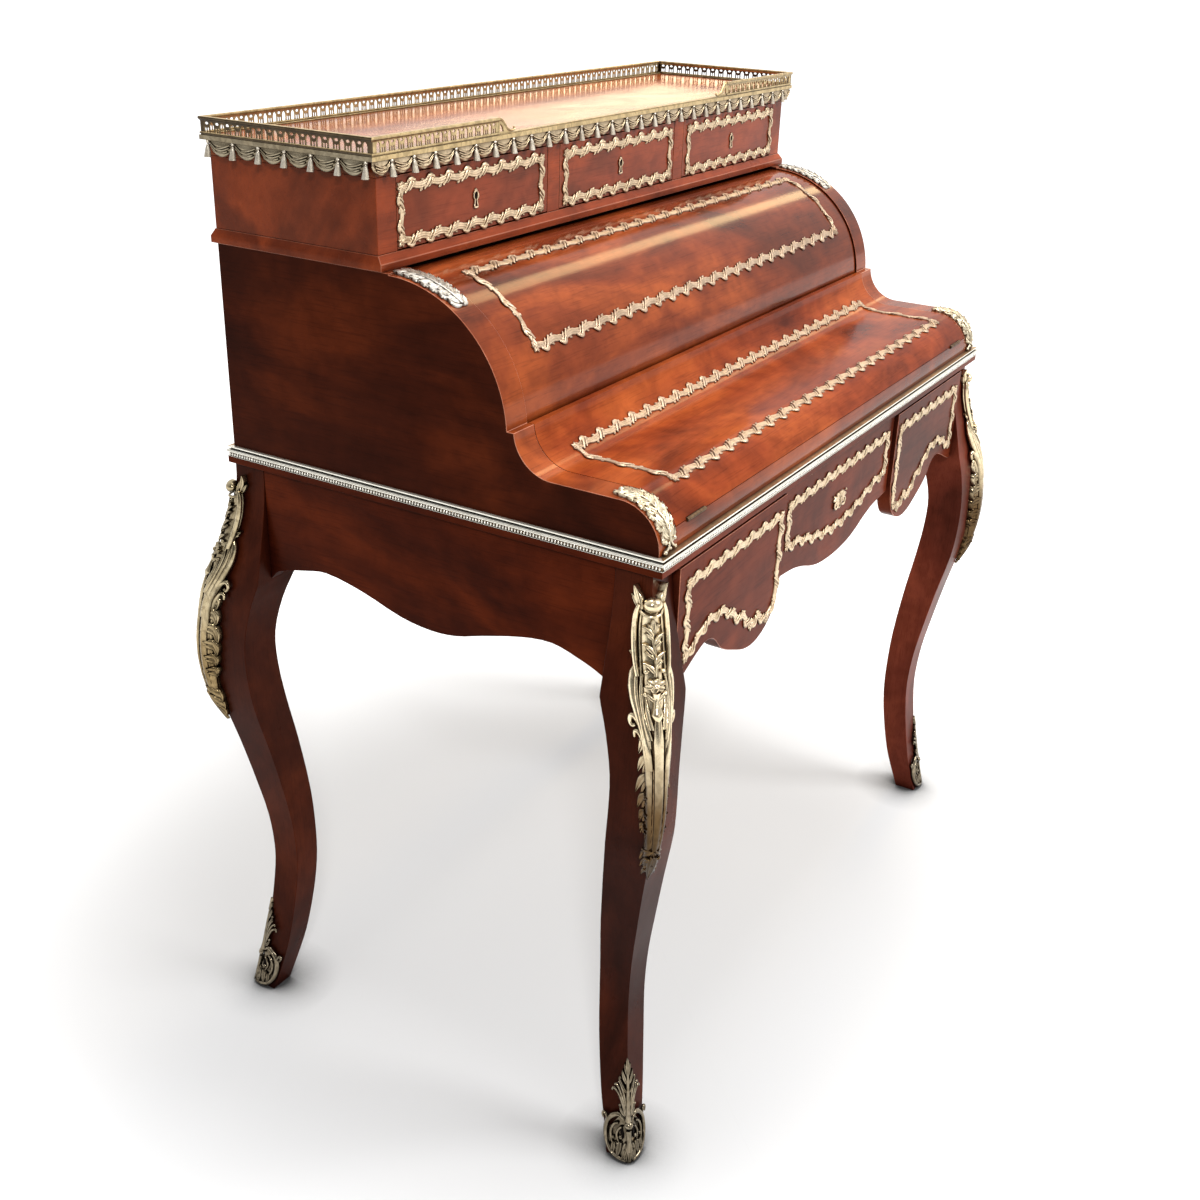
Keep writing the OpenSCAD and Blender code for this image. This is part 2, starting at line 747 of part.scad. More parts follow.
module hanging(n, pitch) {
  square([n * pitch, 4.3]);
  for (i = [0 : n]) translate([i * pitch - tassel_w / 2, 4.3 - tassel_h]) square([tassel_w, tassel_h]);
  for (i = [0 : n - 1]) intersection() {
    translate([(i + 0.5) * pitch, 4.3]) circle(pitch / 2 - 2.6);
    translate([i * pitch, -20]) square([pitch, 21]);
  }
}

front_n = 26;
front_pitch = 2 * (upper_half - 17.5) / front_n;
side_n = 6;
side_pitch = (upper_d - 12) / side_n;
lam_z = cornice_z - 4.3;

module lambrequin() color(gilt) seat() {
  union() {
    translate([-front_n * front_pitch / 2, 0, lam_z])
      along_y(cornice_front + lam_in, cornice_front + lam_in + lam_t) hanging(front_n, front_pitch);
    block([-cornice_half + lam_in, cornice_front + lam_in, lam_z],
          [cornice_half - lam_in, cornice_front + lam_in + lam_t, cornice_z]);
  }
  both_sides() union() {
    translate([0, upper_y + 1, lam_z])
      along_x(cornice_half - lam_in - lam_t, cornice_half - lam_in) hanging(side_n, side_pitch);
    block([cornice_half - lam_in - lam_t, cornice_front + lam_in + lam_t, lam_z],
          [cornice_half - lam_in, upper_back, cornice_z]);
  }
}

// pierced gallery: a strip with pointed openings, and a rail on top
gal_t = 2;
gal_in = 1.5;
gal_rail = 4.7;
gal_open = 217;

module piercing() {
  polygon([[0.9, 1.4], [6.1, 1.4], [6.1, 8], [3.5, 11.6], [0.9, 8]]);
  polygon([[8.2, 4.6], [13.6, 4.6], [13.6, 8], [10.9, 11.6], [8.2, 8]]);
}

module fence(length) {
  n = floor(length / arcade);
  difference() {
    square([length, gallery_h - gal_rail]);
    for (i = [0 : n - 1]) translate([(length - n * arcade) / 2 + i * arcade, 0]) piercing();
  }
}

gal_half = cornice_half - gal_in;
gal_front = cornice_front + gal_in;
gal_back = upper_back - gal_in;
gal_top = gallery_z + gallery_h;

module gallery_front() {
  translate([gal_half - gal_open, 0, gallery_z])
    along_y(gal_front, gal_front + gal_t) fence(gal_open - gal_t);
  block([gal_half - gal_open, gal_front - gal_in, gal_top - gal_rail],
        [gal_half + gal_in, gal_front + gal_t + 1, gal_top]);
  translate([0, 0, gallery_z]) along_y(gal_front, gal_front + gal_t) scroll_end();
}

// the gallery's front ends run down in a scroll
module scroll_end() {
  x0 = gal_half - gal_open;
  difference() {
    translate([x0 - 24, 0]) square([24, gallery_h]);
    translate([x0 - 24, gallery_h + 1]) circle(gallery_h - 2);
  }
}

module gallery() color(gilt) seat() {
  both_sides() union() {
    gallery_front();
    translate([0, gal_front, gallery_z])
      along_x(gal_half - gal_t, gal_half) fence(gal_back - gal_front);
    block([gal_half - gal_t - 1, gal_front, gal_top - gal_rail],
          [gal_half + gal_in, gal_back + gal_in, gal_top]);
  }
  union() {
    translate([-gal_half + gal_t + 0.01, 0, gallery_z])
      along_y(gal_back - gal_t, gal_back) fence(2 * (gal_half - gal_t - 0.01));
    block([-gal_half + gal_t + 1.01, gal_back - gal_t - 1, gal_top - gal_rail],
          [gal_half - gal_t - 1.01, gal_back + gal_in, gal_top]);
  }
}

// ---- upper drawers ----
up_z = upper_z + 1.3;
up_top = rail_z - 1.1;
up_front_t = 18;
up_box_h = 64;

module upper_front(x0, x1) {
  block([x0 + front_gap, upper_y, up_z], [x1 - front_gap, upper_y + up_front_t, up_top]);
}

module upper_box(x0, x1) {
  y0 = upper_y + up_front_t;
  drawer_box(x0 + 1, x1 - 1, y0, y0 + up_box_d, upper_z + slide_gap, up_box_h, 8);
}

module upper_mount(x0, x1) {
  mid = (x0 + x1) / 2;
  y0 = upper_y - proud;
  z0 = upper_z + 4;
  z1 = upper_z + 68;
  difference() {
    block([x0, y0, z0], [x1, upper_y, z1]);
    block([x0 + strip, y0 - 1, z0 + strip], [x1 - strip, upper_y + 1, z1 - strip]);
  }
  block([mid - 7, y0, upper_z + 23], [mid + 7, upper_y, upper_z + 49]);
}

up_a = up_part_x + up_part_w;
up_b = upper_half - stile_w;

module upper_middle_front() color(wood) seat() upper_front(-up_part_x, up_part_x);
module upper_middle_box() color(oak) seat() upper_box(-up_part_x, up_part_x);
module upper_middle_mount() color(gilt) seat() upper_mount(-up_part_x + 8, up_part_x - 8);
module upper_right_front() color(wood) seat() upper_front(up_a, up_b);
module upper_right_box() color(oak) seat() upper_box(up_a, up_b);
module upper_right_mount() color(gilt) seat() upper_mount(up_a + 10, up_b - 1.5);
module upper_left_front() color(wood) seat() upper_front(-up_b, -up_a);
module upper_left_box() color(oak) seat() upper_box(-up_b, -up_a);
module upper_left_mount() color(gilt) seat() upper_mount(-up_b + 1.5, -up_a - 10);

// ---- lower drawers ----
out_x0 = mid_half + 2;
out_x1 = post_in - front_gap;
out_k = (out_x1 - out_x0) / 260.3;
mid_k = mid_half / 179;
mid_edge = [[-mid_half, -110], [-130 * mid_k, -115], [-98 * mid_k, -123],
            [-75 * mid_k, -131], [-45 * mid_k, -138], [0, -141],
            [45 * mid_k, -138], [75 * mid_k, -131],
            [98 * mid_k, -123], [130 * mid_k, -115], [mid_half, -110]];
outer_edge = [[out_x0, -100], [out_x0 + 7 * out_k, -128], [out_x0 + 24 * out_k, -152],
              [out_x0 + 54 * out_k, -165], [out_x0 + 84 * out_k, -164.5],
              [out_x0 + 116 * out_k, -153], [out_x0 + 149 * out_k, -137],
              [out_x0 + 171 * out_k, -116], [out_x0 + 191 * out_k, -111], [out_x0 + 214 * out_k, -118],
              [out_x0 + 251 * out_k, -134], [out_x1, -134]];

module lower_middle_front() color(wood) seat() translate([0, 0, low_top])
  along_y(mid_front_y, mid_front_y + 18)
    polygon(concat(sampled(mid_edge, 4), [[mid_half, -110], [mid_half, 0], [-mid_half, 0]]));

module outer_front() {
  translate([0, 0, low_top]) along_y(outer_y, outer_y + outer_front_t)
    polygon(concat(sampled(outer_edge, 4), [[out_x1, -134], [out_x1, 0], [out_x0, 0]]));
}

module lower_right_front() color(wood) seat() outer_front();
module lower_left_front() color(wood) seat() mirror([1, 0, 0]) outer_front();

module lower_middle_box() color(oak) seat()
  drawer_box(-part_in + 0.6, part_in - 0.6, mid_front_y + 18, mid_front_y + 18 + low_box_d,
             bear_z + slide_gap, low_box_h, 10);

module outer_box() {
  drawer_box(part_out + 0.6, post_in - 6, outer_y + outer_front_t,
             outer_y + outer_front_t + low_box_d, bear_z + slide_gap, low_box_h, 10);
}

module lower_right_box() color(oak) seat() outer_box();
module lower_left_box() color(oak) seat() mirror([1, 0, 0]) outer_box();

mid_path = [[-158, -24], [-158, -75], [-146, -77], [-120, -80], [-65, -93], [0, -100],
            [65, -93], [120, -80], [146, -77], [158, -75], [158, -24]];
outer_path = [[14, -23], [14, -125], [19, -133], [35, -145], [59, -132], [77, -137],
              [100, -117], [118, -110], [141, -94], [164, -87], [194, -88], [219, -100],
              [240, -109], [240, -23]];

module lower_middle_mount() color(gilt) seat() translate([0, 0, low_top])
  along_y(mid_front_y - proud, mid_front_y) {
    band([for (q = mid_path) [q[0] * mid_k, q[1]]], strip);
    polygon([[-22, -67], [-13, -55], [0, -52], [13, -55], [22, -67], [13, -79], [0, -82], [-13, -79]]);
  }

module outer_mount() {
  translate([out_x0, 0, low_top]) along_y(outer_y - proud, outer_y)
    band([for (q = outer_path) [q[0] * out_k, q[1]]], strip);
}

module lower_right_mount() color(gilt) seat() outer_mount();
module lower_left_mount() color(gilt) seat() mirror([1, 0, 0]) outer_mount();

leg_front_left();
leg_front_right();
leg_back_left();
leg_back_right();
side_aprons();
back_apron();
drawer_bearers();
partitions();
table_board();
table_moulding();
cheek_left();
cheek_right();
back_panel();
bed_board();
bed_leather();
pigeonholes();
inner_drawer_left();
inner_drawer_right();
base_moulding();
base_board();
upper_uprights();
upper_back();
top_board();
cornice();
lambrequin();
gallery();
cheek_mounts_upper();
cheek_mounts_lower();
chutes();
sabots();
lid_panel();
lid_arms();
lid_mount();
pivot_pins();
fall_panel();
fall_board();
fall_leather();
fall_mount();
fall_hinge_leaves();
bed_hinge_leaves();
upper_left_front();
upper_left_box();
upper_left_mount();
upper_middle_front();
upper_middle_box();
upper_middle_mount();
upper_right_front();
upper_right_box();
upper_right_mount();
lower_left_front();
lower_left_box();
lower_left_mount();
lower_middle_front();
lower_middle_box();
lower_middle_mount();
lower_right_front();
lower_right_box();
lower_right_mount();
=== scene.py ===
"""Looks of the cylinder desk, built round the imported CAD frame. Metres, row frame."""

import json
import math

import bmesh
import bpy
from mathutils import Matrix, Vector


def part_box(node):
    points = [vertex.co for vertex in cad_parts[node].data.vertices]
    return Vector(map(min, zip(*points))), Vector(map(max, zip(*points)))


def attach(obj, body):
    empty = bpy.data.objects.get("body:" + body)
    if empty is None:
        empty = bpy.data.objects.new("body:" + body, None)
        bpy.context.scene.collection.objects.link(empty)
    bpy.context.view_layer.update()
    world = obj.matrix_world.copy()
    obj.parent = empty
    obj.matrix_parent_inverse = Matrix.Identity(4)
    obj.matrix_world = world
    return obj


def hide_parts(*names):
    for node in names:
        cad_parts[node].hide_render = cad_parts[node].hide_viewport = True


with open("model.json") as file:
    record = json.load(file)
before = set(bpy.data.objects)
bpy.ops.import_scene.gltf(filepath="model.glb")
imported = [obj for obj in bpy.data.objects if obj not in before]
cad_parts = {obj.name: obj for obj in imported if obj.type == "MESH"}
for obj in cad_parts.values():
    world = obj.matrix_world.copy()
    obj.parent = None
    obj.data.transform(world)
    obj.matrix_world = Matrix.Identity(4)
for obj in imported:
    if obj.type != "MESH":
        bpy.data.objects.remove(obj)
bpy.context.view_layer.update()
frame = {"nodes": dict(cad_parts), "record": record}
MM = 0.001

BODY_OF = {}
for body, nodes in frame["record"]["behaviour"]["bodies"].items():
    for n in nodes:
        BODY_OF[n] = body
SLOT_OF = {s["node"]: s["material_slot"] for s in frame["record"]["subparts"]}


def linked(name, data):
    """A new object in the scene."""
    thing = bpy.data.objects.new(name, data)
    bpy.context.scene.collection.objects.link(thing)
    return thing


# ---------------------------------------------------------------- shader helpers

WHITE = (1, 1, 1)
EVEN = (1, 1, 1)
EASED = {"interpolation_type": "SMOOTHSTEP"}


def grey(level):
    return (level, level, level)


def new_material(name):
    """An empty material: itself, its node tree and its main shader."""
    mat = bpy.data.materials.new(name)
    mat.use_nodes = True
    tree = mat.node_tree
    tree.nodes.clear()
    out = tree.nodes.new("ShaderNodeOutputMaterial")
    shader = tree.nodes.new("ShaderNodeBsdfPrincipled")
    tree.links.new(shader.outputs[0], out.inputs[0])
    return mat, tree, shader


def fill(tree, node, inputs):
    """Puts numbers, colours or other nodes' outputs on a node's inputs."""
    for key, value in inputs.items():
        socket = node.inputs[key]
        if isinstance(value, bpy.types.NodeSocket):
            tree.links.new(value, socket)
        elif socket.type == "RGBA":
            socket.default_value = (*value, 1)
        else:
            socket.default_value = value


def add(tree, kind, inputs=None, **settings):
    """A shader node with its settings and inputs."""
    node = tree.nodes.new("ShaderNode" + kind)
    for key, value in settings.items():
        setattr(node, key, value)
    fill(tree, node, inputs or {})
    return node


def ramp(tree, source, stops):
    """Colour ramp of (place, colour) stops driven by a value."""
    node = add(tree, "ValToRGB", {0: source})
    band = node.color_ramp
    while len(band.elements) > 1:
        band.elements.remove(band.elements[-1])
    band.elements[0].position = stops[0][0]
    band.elements[0].color = (*stops[0][1], 1)
    for place, colour in stops[1:]:
        band.elements.new(place).color = (*colour, 1)
    return node.outputs[0]


def noise(tree, scale, stretch, detail=4, rough=0.55, distort=0.0, offset=(0, 0, 0)):
    """Noise in object space, stretched by dividing the scale along an axis."""
    where = add(tree, "TexCoord")
    placed = add(tree, "Mapping", {0: where.outputs["Object"], "Scale": stretch, "Location": offset})
    waves = add(tree, "TexNoise", {0: placed.outputs[0], "Scale": scale, "Detail": detail,
                                   "Roughness": rough, "Distortion": distort})
    return waves.outputs["Fac"]


def mix(tree, mode, a, b, amount):
    """Blend of two colours."""
    return add(tree, "Mix", {0: amount, 6: a, 7: b}, data_type="RGBA", blend_type=mode).outputs[2]


def tinted(tree, colour, source, stops, amount=1.0):
    """A colour multiplied by a ramp over a value."""
    return mix(tree, "MULTIPLY", colour, ramp(tree, source, stops), amount)


def spread(tree, source, low, high, start=0.0, end=1.0, **settings):
    """A value that runs from start to end, moved to run from low to high."""
    limits = {"From Min": start, "From Max": end, "To Min": low, "To Max": high}
    return add(tree, "MapRange", {0: source, **limits}, **settings).outputs[0]


def maths(tree, operation, a, b):
    return add(tree, "Math", {0: a, 1: b}, operation=operation).outputs[0]


def upward(tree, vector):
    """The z part of a vector."""
    return add(tree, "SeparateXYZ", {0: vector}).outputs["Z"]


def openness(tree, distance, samples=8):
    """1 on open ground, less in corners and beside what stands within the distance."""
    return add(tree, "AmbientOcclusion", {"Distance": distance}, samples=samples).outputs["AO"]


def relief(tree, height, strength, depth, under=None):
    """A bump over a height value, on top of another one where under is given."""
    inputs = {"Height": height, "Strength": strength, "Distance": depth}
    if under is not None:
        inputs["Normal"] = under
    return add(tree, "Bump", inputs).outputs[0]


# ---------------------------------------------------------------- materials

# how much finer a pattern is along each axis, for the three ways the grain can run
GRAIN = {"x": (0.06, 1, 1), "y": (1, 0.06, 1), "z": (1, 1, 0.06)}
CLOUD_SCALE = 7.0


def pore_noise(tree, along, scale, stretch, rough=0.55):
    """Short fine lines along the grain."""
    return noise(tree, scale, tuple(a if a == 1 else stretch for a in along), detail=2, rough=rough)


def mahogany(name, grain, dark, mid, light, gloss=0.2, shine=0.5, ior=1.5, offset=(0, 0, 0)):
    """French polished mahogany: quiet grain under a drifting cloudy figure, with fine pores.

    gloss is the middle of its roughness, and offset moves the figure over the board."""
    mat, tree, shader = new_material(name)
    along = GRAIN[grain]
    soft = tuple(0.4 + 0.6 * a for a in along)
    cloud = noise(tree, CLOUD_SCALE, soft, detail=5, distort=0.9, offset=offset)
    colour = ramp(tree, cloud, [(0.36, dark), (0.5, mid), (0.66, light)])
    stripes = noise(tree, 46, along, detail=5, rough=0.6, distort=0.3)
    colour = tinted(tree, colour, stripes,
                    [(0.32, (0.72, 0.66, 0.62)), (0.52, WHITE), (0.72, (1.14, 1.16, 1.16))], 0.6)
    blotch = noise(tree, CLOUD_SCALE * 4.3, EVEN, rough=0.6, distort=0.4, offset=(3, 1, 2))
    colour = tinted(tree, colour, blotch,
                    [(0.36, (0.72, 0.68, 0.66)), (0.55, WHITE), (0.75, (1.2, 1.22, 1.2))], 0.7)
    pores = pore_noise(tree, along, 620, 0.04, rough=0.5)
    colour = tinted(tree, colour, pores, [(0.33, (0.55, 0.5, 0.5)), (0.45, WHITE)], 0.45)
    # painted shade, with some old polish and dust: darker in corners, in seams and under overhangs
    colour = tinted(tree, colour, openness(tree, 0.02, samples=6),
                    [(0.3, (0.16, 0.12, 0.10)), (0.6, (0.52, 0.47, 0.45)), (0.85, (0.85, 0.83, 0.82)),
                     (0.97, WHITE)], 0.9)
    dull = noise(tree, 17, soft, distort=0.6)
    fine = relief(tree, pores, 0.07, 0.0004)
    waves = relief(tree, noise(tree, 12, soft, detail=2), 0.1, 0.003, under=fine)
    fill(tree, shader, {"Base Color": colour, "Roughness": spread(tree, dull, gloss * 0.6, gloss * 1.6),
                        "IOR": ior, "Specular IOR Level": shine, "Specular Tint": (1.0, 0.62, 0.4),
                        "Normal": waves})
    return mat


def plain_wood(name, grain, dark, light, shine=0.5):
    """Waxed oak for what is inside."""
    mat, tree, shader = new_material(name)
    along = GRAIN[grain]
    rays = noise(tree, 60, along, detail=6, rough=0.65, distort=0.4)
    colour = ramp(tree, rays, [(0.32, dark), (0.7, light)])
    pores = pore_noise(tree, along, 700, 0.02)
    colour = tinted(tree, colour, pores, [(0.36, (0.5, 0.45, 0.4)), (0.5, WHITE)], 0.8)
    fill(tree, shader, {"Base Color": colour, "Roughness": spread(tree, rays, 0.5, 0.72),
                        "Specular IOR Level": shine, "Normal": relief(tree, pores, 0.2, 0.0005)})
    return mat


def ormolu(name, bright, recess, rough=0.3, reach=0.004, metal=0.85, wear=0.6, tarnish=0.4, fade=None,
           underside_shade_left=0.3):
    """Cast gilt bronze: bright on the high places, brown where dirt and shade lie.

    reach is how far the dirt and the painted shade spread from a hollow, tarnish the depth of the brown
    clouds, and underside_shade_left the share of colour left on faces that look down, under painted
    shade. fade is (low z, high z, tint at the low end)."""
    mat, tree, shader = new_material(name)
    worn = noise(tree, 70, EVEN, rough=0.6)
    gilt = tinted(tree, bright, worn, [(0.35, (0.84, 0.78, 0.68)), (0.6, (1.03, 1.02, 1.0))], wear)
    clouds = noise(tree, 95, (1, 1, 0.7), detail=3, distort=1.2, offset=(3, 1, 7))
    gilt = tinted(tree, gilt, clouds, [(0.42, (0.22, 0.19, 0.15)), (0.56, WHITE)], tarnish)
    if fade:
        low, high, tint = fade
        place = add(tree, "TexCoord")
        rise = spread(tree, upward(tree, place.outputs["Object"]), 0, 1, low, high, **EASED)
        gilt = tinted(tree, gilt, rise, [(0, tint), (1, WHITE)])
    # painted shade: faces that look down are darker
    facing = add(tree, "NewGeometry")
    painted_underside_shade = spread(tree, upward(tree, facing.outputs["Normal"]), underside_shade_left, 1, -0.75, 0.05)
    gilt = mix(tree, "MULTIPLY", gilt, painted_underside_shade, 1.0)
    # painted shade with dirt: hollows and the ground beside a relief take the recess colour
    clean_and_lit = ramp(tree, openness(tree, reach), [(0.35, grey(0)), (0.68, grey(0.42)), (0.95, WHITE)])
    fine = noise(tree, 700, EVEN, detail=2)
    fill(tree, shader, {"Base Color": mix(tree, "MIX", recess, gilt, clean_and_lit), "Metallic": metal,
                        "Roughness": spread(tree, worn, rough * 0.8, rough * 1.4),
                        "Normal": relief(tree, fine, 0.12, 0.0003)})
    return mat


def leather(name, base, dark):
    """Dyed hide with a fine pebbled grain."""
    mat, tree, shader = new_material(name)
    where = add(tree, "TexCoord")
    pebbles = add(tree, "TexVoronoi", {"Vector": where.outputs["Object"], "Scale": 900},
                  feature="DISTANCE_TO_EDGE")
    worn = noise(tree, 14, EVEN, detail=5)
    fill(tree, shader, {"Base Color": ramp(tree, worn, [(0.3, dark), (0.65, base)]), "Roughness": 0.5,
                        "Normal": relief(tree, pebbles.outputs["Distance"], 0.25, 0.0004)})
    return mat


# grain, the dark, middle and light of the figure, then gloss, shine, ior and the figure's offset
WOOD_LOOKS = {
    # side: a darker copy that paints shade on faces that look sideways
    "side": ("y", (0.026, 0.0045, 0.002), (0.048, 0.008, 0.003), (0.105, 0.018, 0.005), 0.3, 0.18, 1.2),
    "leg": ("z", (0.032, 0.006, 0.003), (0.058, 0.0105, 0.0045), (0.105, 0.020, 0.007), 0.28, 0.2, 1.22),
    # a lighter, redder copy of the leg look for the front right leg: painted light
    "lit_right_leg": ("z", (0.095, 0.020, 0.012), (0.16, 0.032, 0.018), (0.24, 0.050, 0.026), 0.3, 0.2, 1.22),
    "front": ("x", (0.15, 0.030, 0.012), (0.26, 0.048, 0.018), (0.40, 0.078, 0.022), 0.2, 0.4, 1.3),
    "low_front": ("x", (0.085, 0.018, 0.009), (0.13, 0.026, 0.012), (0.20, 0.038, 0.015), 0.2, 0.2, 1.15),
    "apron": ("y", (0.044, 0.007, 0.003), (0.088, 0.0135, 0.004), (0.15, 0.024, 0.006), 0.3, 0.18, 1.2,
              (0, 0.22, 0)),
    "lid": ("x", (0.075, 0.015, 0.006), (0.19, 0.034, 0.009), (0.36, 0.075, 0.016), 0.10, 0.45, 1.33),
    "fall": ("x", (0.10, 0.018, 0.007), (0.25, 0.042, 0.010), (0.40, 0.085, 0.018), 0.12, 0.3, 1.22),
    "case": ("x", (0.16, 0.028, 0.010), (0.30, 0.052, 0.015), (0.44, 0.09, 0.024), 0.24, 0.4, 1.3),
    "top": ("x", (0.22, 0.045, 0.014), (0.38, 0.09, 0.022), (0.50, 0.15, 0.04), 0.15, 0.4, 1.3),
    # edge: a lighter copy for eased edges that paints a highlight along them, with worn polish
    "edge": ("x", (0.30, 0.075, 0.035), (0.42, 0.13, 0.07), (0.5, 0.2, 0.12), 0.3),
}
WOOD = {name: mahogany("mahogany_" + name, *look) for name, look in WOOD_LOOKS.items()}
OAK = {g: plain_wood("oak_" + g, g, (0.16, 0.085, 0.04), (0.34, 0.21, 0.11)) for g in "xyz"}

# frames, hangings and gallery; the ones for the sides are darker copies: painted shade
GILT = ormolu("ormolu", (0.88, 0.70, 0.48), (0.20, 0.10, 0.045), rough=0.34, reach=0.003, metal=0.7,
              tarnish=0.3)
# a darker copy of the gilt for the lid and fall, which the lamp above lights strongly: painted shade
SHADED_LID_GILT = ormolu("ormolu_lid", (0.64, 0.48, 0.34), (0.15, 0.075, 0.04), rough=0.34, reach=0.003,
                  metal=0.7, tarnish=0.3)
FRIEZE = ormolu("ormolu_frieze", (0.80, 0.64, 0.42), (0.085, 0.045, 0.02), reach=0.005, metal=0.8,
                tarnish=0.3)
FRIEZE_SHADED = ormolu("ormolu_frieze_sides", (0.50, 0.43, 0.30), (0.05, 0.034, 0.018), rough=0.25,
                    reach=0.005, metal=0.9, tarnish=0.3)
TASSEL = ormolu("ormolu_tassels", (0.92, 0.84, 0.70), (0.05, 0.03, 0.015), rough=0.25, reach=0.0025,
                metal=0.45, tarnish=0.2, underside_shade_left=0.5)
GALLERY = ormolu("ormolu_gallery", (0.66, 0.50, 0.26), (0.09, 0.05, 0.02))
GALLERY_SHADED = ormolu("ormolu_gallery_sides", (0.10, 0.07, 0.038), (0.03, 0.018, 0.008), reach=0.005)
CORNICE_SHADED = ormolu("ormolu_cornice_sides", (0.31, 0.26, 0.175), (0.03, 0.018, 0.008))
# leg and cheek mounts
# both chutes darken towards the lower end of the stem: painted shade and dark reflection; the rear ones are a
# darker copy: painted shade
CHUTE = ormolu("ormolu_chutes", (1.0, 0.85, 0.58), (0.13, 0.075, 0.035), rough=0.18, reach=0.0045,
               metal=0.97, tarnish=0.3, fade=(0.51, 0.63, (0.11, 0.08, 0.052)))
CHUTE_SHADED = ormolu("ormolu_rear_chutes", (0.50, 0.42, 0.27), (0.05, 0.035, 0.018), rough=0.18,
                   reach=0.005, metal=0.97, tarnish=0.45, fade=(0.50, 0.60, (0.60, 0.52, 0.40)))
SHOE = ormolu("ormolu_shoes", (0.33, 0.28, 0.20), (0.022, 0.015, 0.008), rough=0.13, reach=0.007,
              metal=0.97, tarnish=0.45)
SILVER = ormolu("ormolu_pale", (0.78, 0.75, 0.69), (0.10, 0.07, 0.05), reach=0.005, metal=0.75,
                tarnish=0.5)
PALE_GILT = ormolu("ormolu_nose", (0.93, 0.83, 0.62), (0.18, 0.10, 0.045), rough=0.26, reach=0.003,
                   metal=0.8, tarnish=0.35, fade=(0.772, 0.80, grey(0.7)))
# the table's moulding
CREAM = ormolu("moulding_brass", (1.0, 0.97, 0.86), (0.02, 0.012, 0.007), rough=0.22, reach=0.0014,
               metal=0.7, wear=0.25, tarnish=0.1, underside_shade_left=0.6)
EDGE_BRASS = ormolu("moulding_top", (0.50, 0.33, 0.18), (0.10, 0.06, 0.03), metal=0.8, tarnish=0.3)
BEAD = ormolu("moulding_beads", (1.0, 0.97, 0.88), (0.30, 0.24, 0.18), rough=0.25, reach=0.0008,
              metal=0.6, wear=0.2, tarnish=0.1, underside_shade_left=0.6)
# hinges, pins, leather, and the near-black that paints the shade inside key holes, the shoes' openings and
# the moulding's groove
BRASS = ormolu("brass_plain", (0.16, 0.10, 0.055), (0.05, 0.03, 0.015), rough=0.5)
STEEL = ormolu("steel_plain", (0.5, 0.5, 0.5), (0.12, 0.11, 0.1))
GREEN = leather("leather_green", (0.05, 0.10, 0.055), (0.025, 0.05, 0.03))
HOLE_SHADE = plain_wood("keyhole_dark", "z", (0.006, 0.004, 0.003), (0.012, 0.008, 0.006), shine=0.05)


# ---------------------------------------------------------------- CAD solids with their finishes

def eased(node, material, width=0.7 * MM, edge=None, shaded_flank=None):
    """The CAD solid with its sharp edges eased.

    edge is the finish of the eased edges, where given a lighter one that paints a highlight along
    them with worn polish, and shaded_flank the darker copy that paints shade on the faces that look sideways."""
    source = frame["nodes"][node]
    mesh = source.data.copy()
    mesh.materials.clear()
    for finish in (material, edge or material, shaded_flank or material):
        mesh.materials.append(finish)
    piece = linked(node + "_wood", mesh)
    b = bmesh.new()
    b.from_mesh(mesh)
    bmesh.ops.remove_doubles(b, verts=b.verts, dist=1e-6)
    bmesh.ops.dissolve_limit(b, angle_limit=math.radians(0.3), verts=b.verts, edges=b.edges)
    for f in b.faces:
        f.smooth = True
        # faces that look sideways take the darker flank copy: painted shade
        f.material_index = 2 if abs(f.normal.x) > 0.95 else 0
    b.to_mesh(mesh)
    b.free()
    if mesh.has_custom_normals:
        with bpy.context.temp_override(object=piece, active_object=piece):
            bpy.ops.mesh.customdata_custom_splitnormals_clear()
    mod = piece.modifiers.new("ease", "BEVEL")
    mod.width = width
    mod.segments = 2
    mod.limit_method = "ANGLE"
    mod.angle_limit = math.radians(32)
    mod.use_clamp_overlap = True
    mod.harden_normals = True
    # the bevels take the edge finish where given: painted highlight, with worn polish
    mod.material = 1 if edge else -1
    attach(piece, BODY_OF[node])
    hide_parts(node)


def carry(node, material):
    """A CAD node shown as it is, with a material."""
    data = frame["nodes"][node].data
    data.materials.clear()
    data.materials.append(material)


# the front right leg takes a lighter, redder copy of the leg wood: painted light
WOOD_OF = {
    "leg_front_left": "leg", "leg_front_right": "lit_right_leg", "leg_back_left": "leg", "leg_back_right": "leg",
    "side_aprons": "apron", "cheek_left": "lid", "cheek_right": "lid", "table_board": "low_front",
    "bed_board": "lid", "base_moulding": "case", "upper_uprights": "case", "top_board": "top",
    "lid_panel": "lid", "fall_panel": "fall", "fall_board": "fall", "pigeonholes": "case",
}
OAK_GRAIN = {
    "back_apron": "x", "drawer_bearers": "y", "partitions": "y", "back_panel": "x", "base_board": "x",
    "upper_back": "x", "lid_arms": "z", "inner_drawer_left": "x", "inner_drawer_right": "x",
}
for side in ("left", "middle", "right"):
    WOOD_OF[f"upper_{side}_front"] = "front"
    WOOD_OF[f"lower_{side}_front"] = "low_front"
    OAK_GRAIN[f"upper_{side}_box"] = "y"
    OAK_GRAIN[f"lower_{side}_box"] = "y"
# nodes whose eased edges take the lighter edge finish: painted highlight, with worn polish
HIGHLIT_AND_WORN_EDGES = ("cheek_left", "cheek_right", "base_moulding", "_front")
# darker copies that paint shade on the faces that look sideways
SHADED_FLANK_OF = {"cheek_left": "side", "cheek_right": "side", "table_board": "apron"}

for node, look in WOOD_OF.items():
    eased(node, WOOD[look], edge=WOOD["edge"] if node.endswith(HIGHLIT_AND_WORN_EDGES) else None,
          shaded_flank=WOOD.get(SHADED_FLANK_OF.get(node)))

